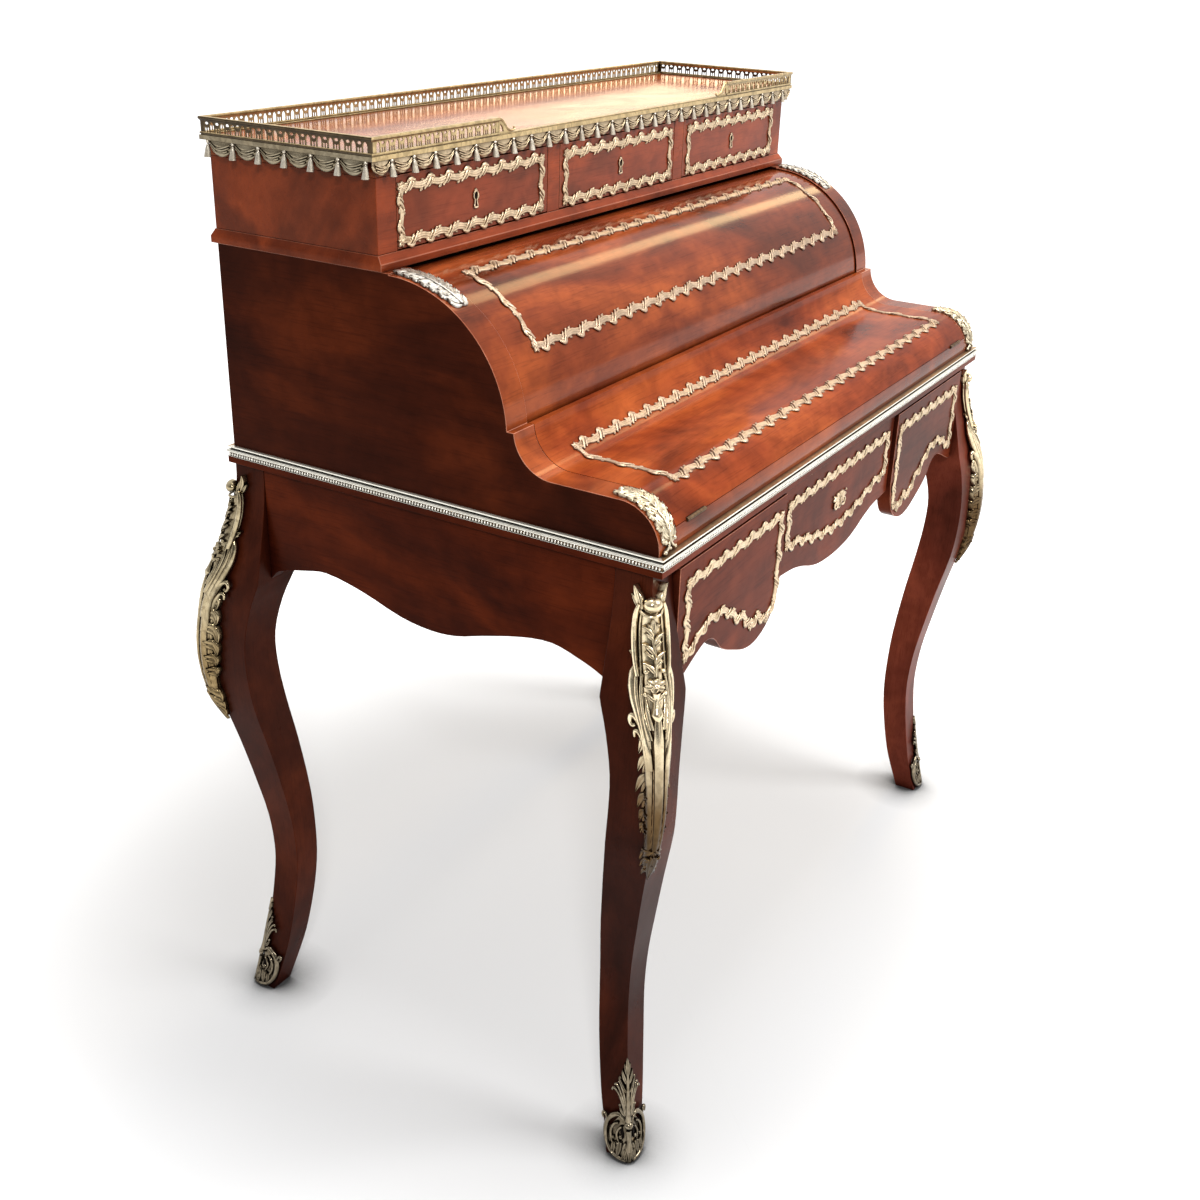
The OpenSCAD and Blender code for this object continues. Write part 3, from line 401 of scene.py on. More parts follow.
for node, grain in OAK_GRAIN.items():
    eased(node, OAK[grain], width=0.5 * MM)

FINISH_OF_SLOT = {"ormolu": GILT, "pale_ormolu": GILT, "leather": GREEN, "hinge_brass": BRASS, "steel": STEEL}
for node in frame["nodes"]:
    # the cornice's sideways faces take a darker copy of the gilt: painted shade
    if node == "cornice":
        eased(node, GALLERY, width=0.3 * MM, shaded_flank=CORNICE_SHADED)
    elif SLOT_OF[node] in FINISH_OF_SLOT:
        carry(node, FINISH_OF_SLOT[SLOT_OF[node]])


# ---------------------------------------------------------------- cast ornament

# how far the origin of the frame lies behind the table's front edge, in mm
MID_Y = 292.3


def row(x, y, z):
    """Millimetres, with y counted back from the table edge, to metres in the row frame."""
    return Vector((x, y - MID_Y, z)) * MM


def lerp(a, b, t):
    return a + (b - a) * t


def steps_at(pairs, x):
    """Straight lines between rising (x, value) pairs, level beyond both ends."""
    x = max(pairs[0][0], min(pairs[-1][0], x))
    for (x0, y0), (x1, y1) in zip(pairs, pairs[1:]):
        if x <= x1:
            return lerp(y0, y1, (x - x0) / (x1 - x0))


def circle(count):
    """The cosine and sine of equal turns."""
    turns = [2 * math.pi * j / count for j in range(count)]
    return [(math.cos(a), math.sin(a)) for a in turns]


def smooth(path, radii, step=3):
    """Catmull-Rom points through the given ones, step to each span."""
    n = len(path)
    if isinstance(radii, (int, float)):
        radii = [radii] * n
    if n < 3:
        return [Vector(p) for p in path], list(radii)
    out, sizes = [], []
    for i in range(n - 1):
        p = [Vector(path[max(0, min(n - 1, i + k))]) for k in (-1, 0, 1, 2)]
        for k in range(step):
            t = k / step
            out.append(0.5 * (2 * p[1] + (p[2] - p[0]) * t + (2 * p[0] - 5 * p[1] + 4 * p[2] - p[3]) * t * t
                              + (3 * p[1] - p[0] - 3 * p[2] + p[3]) * t ** 3))
            sizes.append(lerp(radii[i], radii[i + 1], t))
    out.append(Vector(path[-1]))
    sizes.append(radii[-1])
    return out, sizes


class Cast:
    """Relief modelled in flat millimetre coordinates (across, up, out) and laid on a surface."""

    def __init__(self, surface):
        self.surface = surface
        self.verts = []
        self.faces = []
        # faces that take the near-black of a hole: painted shade
        self.dark = []

    def grid(self, rows, closed=False):
        """Quads through equal rows of (u, v, h) points."""
        start = len(self.verts)
        wide = len(rows[0])
        for line in rows:
            self.verts.extend(line)
        for i in range(len(rows) - 1):
            for j in range(wide if closed else wide - 1):
                k = (j + 1) % wide
                a = start + i * wide
                b = a + wide
                self.faces.append((a + j, a + k, b + k, b + j))

    def cap(self, line):
        """One face through a line of points."""
        start = len(self.verts)
        self.verts.extend(line)
        self.faces.append(tuple(range(start, start + len(line))))

    def ended(self, rows, closed=True):
        """A grid with a face over its first and last rows."""
        self.grid(rows, closed)
        self.cap(rows[0])
        self.cap(rows[-1][::-1])

    def hole(self, u, v, wide, tall, h):
        """A dark oval of painted shade, the inside of a key hole or other opening."""
        self.dark.append(len(self.faces))
        self.cap([(u + wide * c, v + tall * s, h) for c, s in circle(16)])

    def tube(self, path, radii, ribs=0, depth=0.15, sides=8, flat=1.0):
        """A rod along a smooth path; ribs cut reeds along it and flat presses it down."""
        path, radii = smooth(path, radii)
        rows = []
        for i, p in enumerate(path):
            along = (path[min(i + 1, len(path) - 1)] - path[max(i - 1, 0)]).normalized()
            side = along.cross(Vector((0, 0, 1)))
            side = side.normalized() if side.length > 1e-6 else Vector((1, 0, 0))
            out = side.cross(along).normalized()
            line = []
            for j in range(sides):
                turn = 2 * math.pi * j / sides
                r = radii[i] * (1 + depth * math.cos(ribs * turn) if ribs else 1)
                line.append(p + side * (r * math.cos(turn)) + out * (r * flat * math.sin(turn)))
            rows.append(line)
        self.ended(rows)

    def ball(self, u, v, h, r, flat=1.0, steps=6):
        rows = []
        for i in range(steps + 1):
            tilt = math.pi * i / steps
            ring = r * math.sin(tilt) + 1e-4
            rows.append([(u + ring * c, v + ring * s, h + flat * r * math.cos(tilt)) for c, s in circle(10)])
        self.grid(rows[::-1], closed=True)

    def petal(self, p0, p1, wide, h0, h1, belly=1.0, groove=0.5, bow=0.0, curl=0.0):
        """A fluted leaf blade from p0 to p1.

        h0 and h1 are the heights at its ends, belly the swell of its two halves, groove the depth
        of its midrib, bow how far it bends sideways and curl how far its tip lifts."""
        p0 = Vector((p0[0], p0[1], 0))
        along = Vector((p1[0], p1[1], 0)) - p0
        length = along.length
        along.normalize()
        side = Vector((-along.y, along.x, 0))
        rows = []
        steps = 8
        for i in range(steps + 1):
            t = i / steps
            half = max(0.12, 0.5 * wide * (math.sin(math.pi * min(1, t * 0.94 + 0.06) ** 0.8)) ** 0.75)
            middle = p0 + along * (length * t) + side * (bow * math.sin(math.pi * t))
            height = lerp(h0, h1, t) + curl * max(0, t - 0.6) ** 2 / 0.16
            line = []
            for s in (-1.04, -1, -0.72, -0.4, 0, 0.4, 0.72, 1, 1.04):
                arch = 1 - abs(abs(s) - 0.5) * 1.1
                h = height + belly * arch - groove * max(0, 1 - abs(s) * 3.2)
                if abs(s) >= 1:
                    h = height - 0.2
                if abs(s) > 1:
                    h = min(0.0, height - 1.5)
                back = 0.125 * wide * s * s * (1 if i == steps else 0.4)
                line.append(middle + side * (half * s) - along * back + Vector((0, 0, h)))
            rows.append(line)
        self.ended(rows, closed=False)

    def patch(self, half, v0, v1, height, nu, nv):
        """A sheet from -half(v) to half(v) across, with a height function of (u, v)."""
        rows = []
        for i in range(nv + 1):
            v = lerp(v0, v1, i / nv)
            across = [lerp(-half(v), half(v), j / nu) for j in range(nu + 1)]
            rows.append([(u, v, height(u, v)) for u in across])
        self.grid(rows)

    def draw(self, tubes=(), petals=(), balls=()):
        """Many at once, each a row of what tube, petal or ball takes."""
        for line in tubes:
            self.tube(*line)
        for line in petals:
            self.petal(*line)
        for line in balls:
            self.ball(*line)

    def mirrored(self, draw):
        """Draws once as it is and once with u turned round."""
        first = len(self.verts)
        faces = len(self.faces)
        draw()
        verts = [(-p[0], p[1], p[2]) for p in self.verts[first:]]
        moved = len(self.verts) - first
        self.verts.extend(verts)
        self.faces.extend(tuple(i + moved for i in reversed(f)) for f in self.faces[faces:])

    def mesh(self):
        mesh = bpy.data.meshes.new("cast")
        mesh.from_pydata([self.surface(*p) for p in self.verts], [], self.faces)
        for i in self.dark:
            mesh.polygons[i].material_index = 1
        return mesh


def add_piece(name, meshes, material, *nodes):
    """One object from several meshes, riding with and standing for CAD nodes.

    material is one for all the meshes, or a list with one for each."""
    materials = material if isinstance(material, list) else [material] * len(meshes)
    finishes = list(dict.fromkeys(materials))
    b = bmesh.new()
    for part, finish in zip(meshes, materials):
        known = len(b.faces)
        b.from_mesh(part)
        bpy.data.meshes.remove(part)
        b.faces.ensure_lookup_table()
        for f in b.faces[known:]:
            f.material_index = len(finishes) if f.material_index else finishes.index(finish)
    bmesh.ops.recalc_face_normals(b, faces=b.faces)
    for f in b.faces:
        f.smooth = True
    mesh = bpy.data.meshes.new(name)
    b.to_mesh(mesh)
    b.free()
    # the last slot paints shade on the dark faces
    for finish in finishes + [HOLE_SHADE]:
        mesh.materials.append(finish)
    piece = linked(name, mesh)
    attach(piece, BODY_OF[nodes[0]])
    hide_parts(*nodes)
    return piece


# surfaces: each turns (u, v, h) into a place

def upright(y, face=-1):
    """A plane across the desk; u to the right, v up, h out of the front."""
    return lambda u, v, h: row(u, y + face * h, v)


def side_plane(x, sign):
    """A plane at one side; u is the depth, v up, h outwards."""
    return lambda u, v, h: row(sign * (x + h), u, v)


def profile(points):
    """A surface drawn by a side view; v is the length along it from its first point."""
    runs = [0.0]
    for a, b in zip(points, points[1:]):
        runs.append(runs[-1] + math.dist(a, b))
    normals = []
    for i in range(len(points)):
        a = points[max(i - 1, 0)]
        b = points[min(i + 1, len(points) - 1)]
        size = math.dist(a, b)
        normals.append((-(b[1] - a[1]) / size, (b[0] - a[0]) / size))

    def place(u, v, h):
        i = 0
        while i < len(points) - 2 and v > runs[i + 1]:
            i += 1
        t = (v - runs[i]) / (runs[i + 1] - runs[i])
        y, z = (lerp(a, b, t) for a, b in zip(points[i], points[i + 1]))
        ny, nz = (lerp(a, b, t) for a, b in zip(normals[i], normals[i + 1]))
        size = math.hypot(ny, nz)
        return row(u, y + ny / size * h, z + nz / size * h)

    place.run_at = lambda y: steps_at([(p[0], run) for p, run in zip(points, runs)], y)
    return place


def arc(y, z, r, a0, a1, n):
    """Side view points; 0 degrees looks forwards and 90 up."""
    turns = [math.radians(lerp(a0, a1, i / n)) for i in range(n + 1)]
    return [(y - r * math.cos(a), z + r * math.sin(a)) for a in turns]


# the lid's roll, then the fall: a round nose and the cove above it
LID_R = 143.6
ROLL = (335, 861)
lid_surface = profile(arc(*ROLL, LID_R, 0, 95, 90))
nose_points = arc(55.5, 781, 47, 0, 90, 40)
cove_points = [(135 + 46 * math.sin(math.radians(a)), 874 - 46 * math.cos(math.radians(a)))
               for a in range(0, 91, 3)]
fall_surface = profile(nose_points + cove_points)


class Stretch:
    """One smooth stretch of a frame's path; gives places along and across it."""

    def __init__(self, points):
        self.line = smooth([(*p, 0) for p in points], 1.0, 8)[0]
        self.runs = [0.0]
        for a, b in zip(self.line, self.line[1:]):
            self.runs.append(self.runs[-1] + (b - a).length)
        self.length = self.runs[-1]

    def at(self, s, across=0.0, h=0.0):
        """The point s along, across to the inner side and h up."""
        i = 0
        while i < len(self.runs) - 2 and s > self.runs[i + 1]:
            i += 1
        t = (s - self.runs[i]) / (self.runs[i + 1] - self.runs[i])
        here = self.line[i].lerp(self.line[i + 1], t)
        along = (self.line[i + 1] - self.line[i]).normalized()
        return here + Vector((-along.y, along.x, 0)) * across + Vector((0, 0, h))


# one turn of the leaf ribbon, as (along, across, up) points
TURN_HEAD = [(-8.5, -3.4, 0.9), (-5.0, -5.2, 1.1), (-1.2, -6.6, 1.2), (2.4, -6.2, 1.2), (5.2, -4.0, 1.0)]
TURN_RIBBON = [(-0.6, -5.6, 1.6), (2.6, -1.8, 2.2), (5.8, 2.0, 2.1), (8.8, 4.8, 1.3), (10.4, 5.8, 0.9)]
TURN_EDGE = [(-4.6, -4.8, 1.3), (-1.6, -0.6, 2.0), (1.4, 3.0, 1.7), (3.2, 4.8, 1.0)]
TURN_KNOBS = [((-5.8, -5.2, 1.2), 1.7), ((1.2, -6.0, 1.65), 1.3), ((9.6, 5.6, 1.1), 1.5)]


def ribbon_turn(cast, stretch, s, k, pitch):
    """One turn of the leaf ribbon round the rod at s; k scales its reach across."""
    def at(along, across, h=0.0):
        return stretch.at(s + along, across * k, h)

    # the rounded head stands out past the rod, and the ribbon runs on to its inner edge
    cast.tube([at(*p) for p in TURN_HEAD], [1.0, 1.9, 2.5, 2.1, 0.9], 3, 0.14, sides=9, flat=0.62)
    cast.tube([at(*p) for p in TURN_RIBBON], [1.9, 1.7, 1.5, 1.3, 0.7], 3, 0.2, sides=9, flat=0.6)
    cast.tube([at(*p) for p in TURN_EDGE], [1.2, 1.2, 1.1, 0.6], flat=0.7)
    for place, r in TURN_KNOBS:
        cast.ball(*at(*place), r, flat=0.8)
    # thorns half way to the next turn
    half = pitch * 0.5
    cast.petal(at(half - 2.4, 3.0), at(half + 1.4, 7.6), 3.6, 1.3, 1.0, 0.7, bow=0.6)
    cast.petal(at(half - 6, -2.4), at(half - 1.0, -4.8), 3.2, 1.0, 0.7, 0.6)


ROD_HALF = 3.9
SLIM = 0.72


def frame_strip(cast, path, pitch=35.0, slim=()):
    """A reeded rod wrapped by a leaf ribbon, laid round a closed path of (u, v) points.

    The path runs anticlockwise, so its inner side lies on the left. Stretches between corners
    that are listed in slim keep a narrower ribbon."""
    n = len(path)
    corners = []
    for i in range(n):
        a = Vector(path[i]) - Vector(path[i - 1])
        b = Vector(path[(i + 1) % n]) - Vector(path[i])
        if a.angle(b) > math.radians(35):
            corners.append(i)
    for c, first in enumerate(corners):
        count = (corners[(c + 1) % len(corners)] - first) % n
        stretch = Stretch([path[(first + i) % n] for i in range(count + 1)])
        thin = SLIM if c in slim else 1.0
        half = ROD_HALF * thin
        samples = max(4, int(stretch.length / 3))
        turns = max(1, round(stretch.length / pitch))
        rows = []
        for i in range(samples + 1):
            s = stretch.length * i / samples
            swell = 1 + 0.08 * math.sin(2 * math.pi * s / 9)
            drift = 1.2 * thin * math.cos(2 * math.pi * s * turns / stretch.length)
            line = [stretch.at(s, drift - half, -0.3)]
            for m in range(13):
                t = -1 + m / 6
                reed = 0.5 * abs(math.cos(t * 1.5 * math.pi))
                height = 0.55 + 0.95 * math.sqrt(1 - 0.9 * t * t) + reed
                line.append(stretch.at(s, drift + half * swell * t, height))
            line.append(stretch.at(s, drift + half, -0.3))
            rows.append(line)
        cast.grid(rows)
        for i in range(turns):
            ribbon_turn(cast, stretch, stretch.length * (i + 0.5) / turns, thin, stretch.length / turns)
    for c in corners:
        here = Vector(path[c])
        before = (here - Vector(path[c - 1])).normalized()
        after = (Vector(path[(c + 1) % n]) - here).normalized()
        out = (before - after).normalized()
        tang = Vector((-out.y, out.x))
        for turn, reach in ((-0.95, 7.0), (0.95, 7.0), (0, 7.6)):
            way = (out * math.cos(turn) + tang * math.sin(turn))
            cast.petal(here - way * 2.5, here + way * reach, 5.2, 1.6, 1.0, 1.1, 0.7)
        for way in (-before, after):
            cast.petal(here - way * 2.0, here + way * 11, 6.4, 1.9, 1.4, 1.1, 0.8)
        cast.ball(here.x, here.y, 1.5, 2.4, flat=0.65)


def rectangle(u0, u1, v0, v1):
    return [(u0, v0), (u1, v0), (u1, v1), (u0, v1)]


def roll_frames():
    """The frames of the lid and the fall, on their round fronts."""
    lid_ends = (math.radians(29.2) * LID_R + 5, math.radians(76.8) * LID_R - 5)
    fall_ends = (fall_surface.run_at(43), fall_surface.run_at(160))
    for name, surface, half, ends in (("lid", lid_surface, 400, lid_ends),
                                      ("fall", fall_surface, 398, fall_ends)):
        cast = Cast(surface)
        frame_strip(cast, rectangle(-half, half, *ends), slim=(1, 3))
        add_piece(f"{name}_frame", [cast.mesh()], SHADED_LID_GILT, f"{name}_mount")


def keyhole_plate(cast, u, v):
    """A small oval escutcheon over a foot, with the dark key hole inside it."""
    # the key hole is painted dark: painted shade
    cast.hole(u, v + 2.6, 3.7, 4.6, 0.5)
    cast.hole(u, v - 4.4, 1.7, 4.2, 0.5)
    turns = [a * math.pi / 9 - 1.3 for a in range(18)]
    cast.tube([(u + 3.9 * math.cos(a), v + 2.6 + 5.0 * math.sin(a), 1.1) for a in turns],
              [0.9, 0.7, 1.2, 1.4, 1.3] + [0.8] * 13)
    for side in (-1, 1):
        foot = [(2.0, -1.8), (2.2, -5.0), (3.2, -8.6)]
        cast.tube([(u + side * a, v + b, 1.2) for a, b in foot], [0.7, 0.7, 0.9])
    cast.tube([(u - 3.4, v - 9.6, 1.1), (u, v - 10.2, 1.3), (u + 3.4, v - 9.6, 1.1)], [1.0, 1.3, 1.0])
    cast.petal((u, v + 6.8), (u, v + 10.5), 4.0, 1.4, 1.0, 0.7)


def rosette_plate(cast, u, v):
    """The middle drawer's escutcheon: leaf scrolls round an oval."""
    keyhole_plate(cast, u, v - 1)
    for side in (-1, 1):
        for up, reach, broad in ((0.15, 22, 8), (0.75, 17, 7), (-0.55, 19, 7), (1.25, 15, 6), (-1.15, 15, 6)):
            way = (side * math.cos(up), math.sin(up))
            cast.petal((u + way[0] * 4, v + way[1] * 5), (u + way[0] * reach, v + way[1] * reach * 0.72),
                       broad, 2.0, 0.9, bow=side * 1.6)
        scroll = [(5, -8, 1.5), (13, -10, 2), (17, -4, 2), (12, 0, 2), (9, -4, 1.6)]
        cast.tube([(u + side * a, v + b, h) for a, b, h in scroll], [1.6, 1.5, 1.3, 1.1, 0.9], flat=0.8)
        cast.ball(u + side * 9.6, v - 4, 1.5, 1.8)
        cast.ball(u + side * 19, v + 8, 1.2, 1.5)


def upper_frames():
    """The frames of the three top drawers, drawn down the middle of their mounts."""
    z0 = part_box("upper_middle_mount")[0].z / MM + 5
    z1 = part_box("upper_middle_mount")[1].z / MM - 5
    for where in ("left", "middle", "right"):
        lo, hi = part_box(f"upper_{where}_mount")
        cast = Cast(upright(350))
        u0 = lo.x / MM + 5
        u1 = hi.x / MM - 5
        frame_strip(cast, rectangle(u0, u1, z0, z1), pitch=32, slim=(1, 3))
        keyhole_plate(cast, (u0 + u1) / 2, 1060)
        add_piece(f"upper_{where}_frame", [cast.mesh()], GILT, f"upper_{where}_mount")


# the frames of the shaped drawers, with heights counted from LOW_TOP; across, the outer one is
# counted from OUTER_START and the middle one from the desk's middle
LOW_TOP = 750
OUTER_START = 181
OUTER_PATH = [(14, -23), (14, -125), (19, -133), (35, -145), (59, -132), (77, -137), (100, -117), (118, -110),
              (141, -94), (164, -87), (194, -88), (219, -100), (240, -109), (240, -23)]
MIDDLE_PATH = [(-158, -24), (-158, -75), (-146, -77), (-120, -80), (-65, -93), (0, -100)]
OUTER_FACE = 6.02
MIDDLE_FACE = 11.52


def lower_frames():
    outer = [(OUTER_START + u, LOW_TOP + v) for u, v in OUTER_PATH]
    half = [(u, LOW_TOP + v) for u, v in MIDDLE_PATH]
    middle = half + [(-u, v) for u, v in half[-2::-1]]
    turned = [(-u, v) for u, v in outer[::-1]]
    for name, path, y in (("right", outer, OUTER_FACE), ("left", turned, OUTER_FACE),
                          ("middle", middle, MIDDLE_FACE)):
        cast = Cast(upright(y))
        frame_strip(cast, path, pitch=31)
        if name == "middle":
            rosette_plate(cast, 0, LOW_TOP - 65)
        add_piece(f"lower_{name}_frame", [cast.mesh()], GILT, f"lower_{name}_mount")


# ---- hangings under the cornice ----

def swag(cast, u0, u1, top, low):
    """One swag of cloth caught up at both ends."""
    wide = u1 - u0

    def sheet(q, t):
        sag = 1 - (2 * q - 1) ** 2
        v = lerp(top, lerp(top - 5.0, low, sag ** 0.8), t)
        wave = math.cos(2 * math.pi * 4.2 * max(0, t - 0.34) * sag ** 0.4)
        h = 0.9 + 1.3 * sag * min(1, max(0, t - 0.2) * 2.4) + 0.75 * wave * min(1, t * 2) * sag ** 0.5
        return (u0 + wide * q, v, max(0.3, h))

    rows = [[sheet(j / 14, i / 16) for j in range(15)] for i in range(17)]
    rows.append([(p[0], p[1], -0.2) for p in rows[-1]])
    cast.grid(rows)
    for lift, start, end in ((0.0, 0.08, 0.74), (2.6, 0.12, 0.62), (5.0, 0.2, 0.5)):
        path = []
        for k in range(7):
            q = lerp(start, end, k / 6)
            dip = 5.6 * math.sin(math.pi * q * 0.72)
            path.append((u0 + wide * q, top - 1.8 - lift - dip, 2.6 - 0.16 * k))
        cast.tube(path, [0.6, 1.0, 1.15, 1.1, 0.95, 0.7, 0.3], sides=6)
    # narrow folds that come back from the other end
    for lift in (0.0, 2.4):
        path = [(u0 + wide * lerp(0.95, 0.66, k / 4), top - 2.6 - lift - 1.9 * k, 2.2 - 0.1 * k)
                for k in range(5)]
        cast.tube(path, [0.5, 0.8, 0.8, 0.6, 0.3], sides=6)


def tassel(cast, u, top, low):
    """A knot over a fluted skirt that hangs away from the cloth."""
    cast.ball(u, top - 1.6, 2.0, 2.1)
    cast.ball(u, top - 4.6, 2.2, 1.5, steps=4)
    rows = []
    for i in range(6):
        t = i / 5
        r = lerp(1.5, 3.6, t ** 0.7)
        line = []
        for j, (c, s) in enumerate(circle(16)):
            fluted = r * (1 + 0.14 * (-1) ** j)
            line.append((u + 0.5 * t + fluted * c, lerp(top - 5, low, t), 2.4 + 1.1 * t + 0.85 * fluted * s))
        rows.append(line)
    cast.grid(rows, closed=True)
    cast.cap(rows[-1][::-1])


HANG_TOP, HANG_LOW, TASSEL_TIP = 1118.2, 1102.6, 1101.0


def hang(surface, u0, step, count):
    """Swags with a tassel at every joint, as the swags' cast and the tassels' own."""
    cloth = Cast(surface)
    hung = Cast(surface)
    for i in range(count + 1):
        u = u0 + i * step
        tassel(hung, u, HANG_TOP, TASSEL_TIP)
        if i < count:
            swag(cloth, u + 1.5, u + step - 1.5, HANG_TOP, HANG_LOW)
    return cloth, hung


def hangings():
    front = 464.5
    cloth, hung = hang(upright(345.2), -front, 2 * front / 26, 26)
    for side in (-1, 1):
        swag(cloth, *sorted((side * 466, side * 493.5)), HANG_TOP, HANG_LOW + 1)
    meshes = [cloth.mesh(), hung.mesh()]
    for side in (-1, 1):
        meshes += [cast.mesh() for cast in hang(side_plane(492.4, side), 351, 212 / 6, 6)]
    # the side swags take a darker copy of the frieze gilt: painted shade
    add_piece("hangings", meshes, [FRIEZE, TASSEL, FRIEZE_SHADED, TASSEL, FRIEZE_SHADED, TASSEL], "lambrequin")


roll_frames()
upper_frames()
lower_frames()
hangings()


# ---- corner mounts and shoes, laid round the outer edge of a leg ----

CORNER_X = 485
FRONT_Y = 14.3
BACK_Y = 570.3
EDGE_R = 5.0


def leg_line():
    """How far a leg's outer edge stands out of the case, as rising (height, out) pairs in mm."""
    reach = {}
    for v in frame["nodes"]["leg_front_left"].data.vertices:
        z = round(v.co.z / MM, 1)
        reach[z] = max(reach.get(z, -99), -v.co.x / MM - CORNER_X)
    return sorted((z, out) for z, out in reach.items() if out > -12)


LEG_LINE = leg_line()
CHUTE_BOW = [(415, 1.5), (440, 7), (466, 11), (486, 13), (512, 13.8), (540, 12.8), (590, 8), (621, 5),
             (657, 4), (700, 2), (730, 0.5)]
CHUTE_HALF = [(430, 7.5), (570, 10), (600, 15), (630, 24)]


def chute_bow(u, v):
    """How much further a chute stands off the leg's edge along its middle."""
    return steps_at(CHUTE_BOW, v) * max(0, 1 - (u / steps_at(CHUTE_HALF, v)) ** 2)


def leg_edge(sx, sy, bow=None):
    """The two outer faces of one leg opened flat: u is 0 on the edge and runs onto the front or back."""
    bend_r = EDGE_R + 4.0
    half = bend_r * math.pi / 4

    def place(u, v, h):
        out = steps_at(LEG_LINE, v) - EDGE_R
        h += bow(u, v) if bow else 0
        turn = math.pi / 4 + max(-half, min(half, u)) / bend_r
        a = out + (EDGE_R + h) * math.cos(turn) - max(0, u - half)
        b = out + (EDGE_R + h) * math.sin(turn) + min(0, u + half)
        return row(sx * (CORNER_X + a), BACK_Y + b if sy > 0 else FRONT_Y - b, v)
    return place


# In these tables a tube is (points, radii, ribs, depth of the ribs), a petal is (from, to, width, the
# heights of both ends, belly, groove, bow, curl) and a ball is (u, v, height, radius). They hold one
# half of a mount, with u counted from the leg's edge.

CHUTE_TUBES = [
    # inner rail
    ([(11.5, 720, 3.8), (13.4, 706, 3.4), (14, 688, 3.4), (13.6, 670, 3.6), (12.6, 652, 4.4),
      (9.6, 632, 5)], [0.9, 1.3, 1.2, 1.2, 1.3, 1.0]),
    # broad shoulder of folded leaf, drawn together into the stem
    ([(17.5, 668, 3.8), (23.0, 658, 4.6), (24.6, 643, 5.2), (22, 628, 5.8), (16, 611, 6.4), (10, 594, 6.8),
      (6.6, 572, 6.8), (5.4, 548, 5.6)], [1.2, 3.4, 4.4, 4.5, 4.1, 3.5, 2.9, 1.9], 3, 0.10),
    ([(15.0, 664, 4.0), (18.8, 653, 4.8), (18.6, 638, 5.6), (14.8, 622, 6.4), (9.8, 606, 7.2),
      (6.0, 588, 7.6), (4.2, 566, 7.0)], [1.2, 2.5, 3.3, 3.3, 3.0, 2.4, 1.6]),
    ([(10.6, 658, 3.8), (13.2, 646, 4.6), (11.6, 630, 5.6), (7.6, 614, 7.0), (4.2, 598, 8.0)],
     [0.8, 2.0, 2.7, 2.5, 1.6]),
    ([(7.6, 638, 4.4), (6.0, 624, 5.6), (3.2, 608, 7.4)], [1.0, 2.0, 1.6]),
    # scrolled ears under the shoulder
    ([(7.5, 584, 5.4), (12, 599, 6.2), (18.6, 611, 6.2), (25.4, 614, 5.6), (29.0, 608, 5.0),
      (26.4, 602.6, 4.8), (22.6, 604.4, 4.8)], [2.6, 3.8, 3.8, 3.2, 2.5, 2.0, 1.6], 3, 0.12),
    ([(9, 574, 4.8), (12.8, 588, 5.2), (18, 597.5, 5.0), (23.4, 597, 4.6), (24.2, 591, 4.2)],
     [2.0, 3.0, 2.8, 2.2, 1.4]),
    ([(7, 570, 4.6), (10, 582, 4.8), (14.5, 590, 4.6), (18, 589, 4.2)], [1.4, 2.0, 1.8, 1.2]),
    # edge of the stem
    ([(9.6, 604, 4.2), (9.4, 575, 3.6), (8.6, 540, 3.2), (7.6, 500, 2.8), (6.4, 466, 2.6)],
     [1.4, 1.5, 1.4, 1.2, 1.0]),
]
CHUTE_PETALS = [
    # leaf ears and the bud on the rail
    ((11.5, 722), (18.5, 746), 7, 4.6, 6.2, 1.6, 1.0, -1.0, 1.2),
    ((10.5, 722), (14, 738), 5, 5.4, 5.4, 1.2, 0.8, 0.6),
    ((15, 722), (23, 735), 4.6, 4.0, 4.4, 1.0, 0.8),
    ((18.5, 672), (27, 677), 4.6, 4.2, 4.8),
    # leaf at the lower end
    ((1, 468), (10.5, 447), 7, 5.0, 4.4, 1.5, 1.2, 1.8, 2.2),
    ((1, 456), (9.0, 436), 6, 4.8, 4.0, 1.4, 1.1, 1.6, 1.8),
    ((1, 444), (6.4, 425), 5, 4.4, 3.4, 1.3, 1.0, 1.2, 1.2),
]
CHUTE_BALLS = [(22.5, 671.5, 4.2, 2.2), (8.0, 462, 4.6, 2.4), (7.2, 449, 4.4, 1.9), (4.6, 436, 4.2, 1.7),
               (3.2, 456, 6.0, 1.8)]


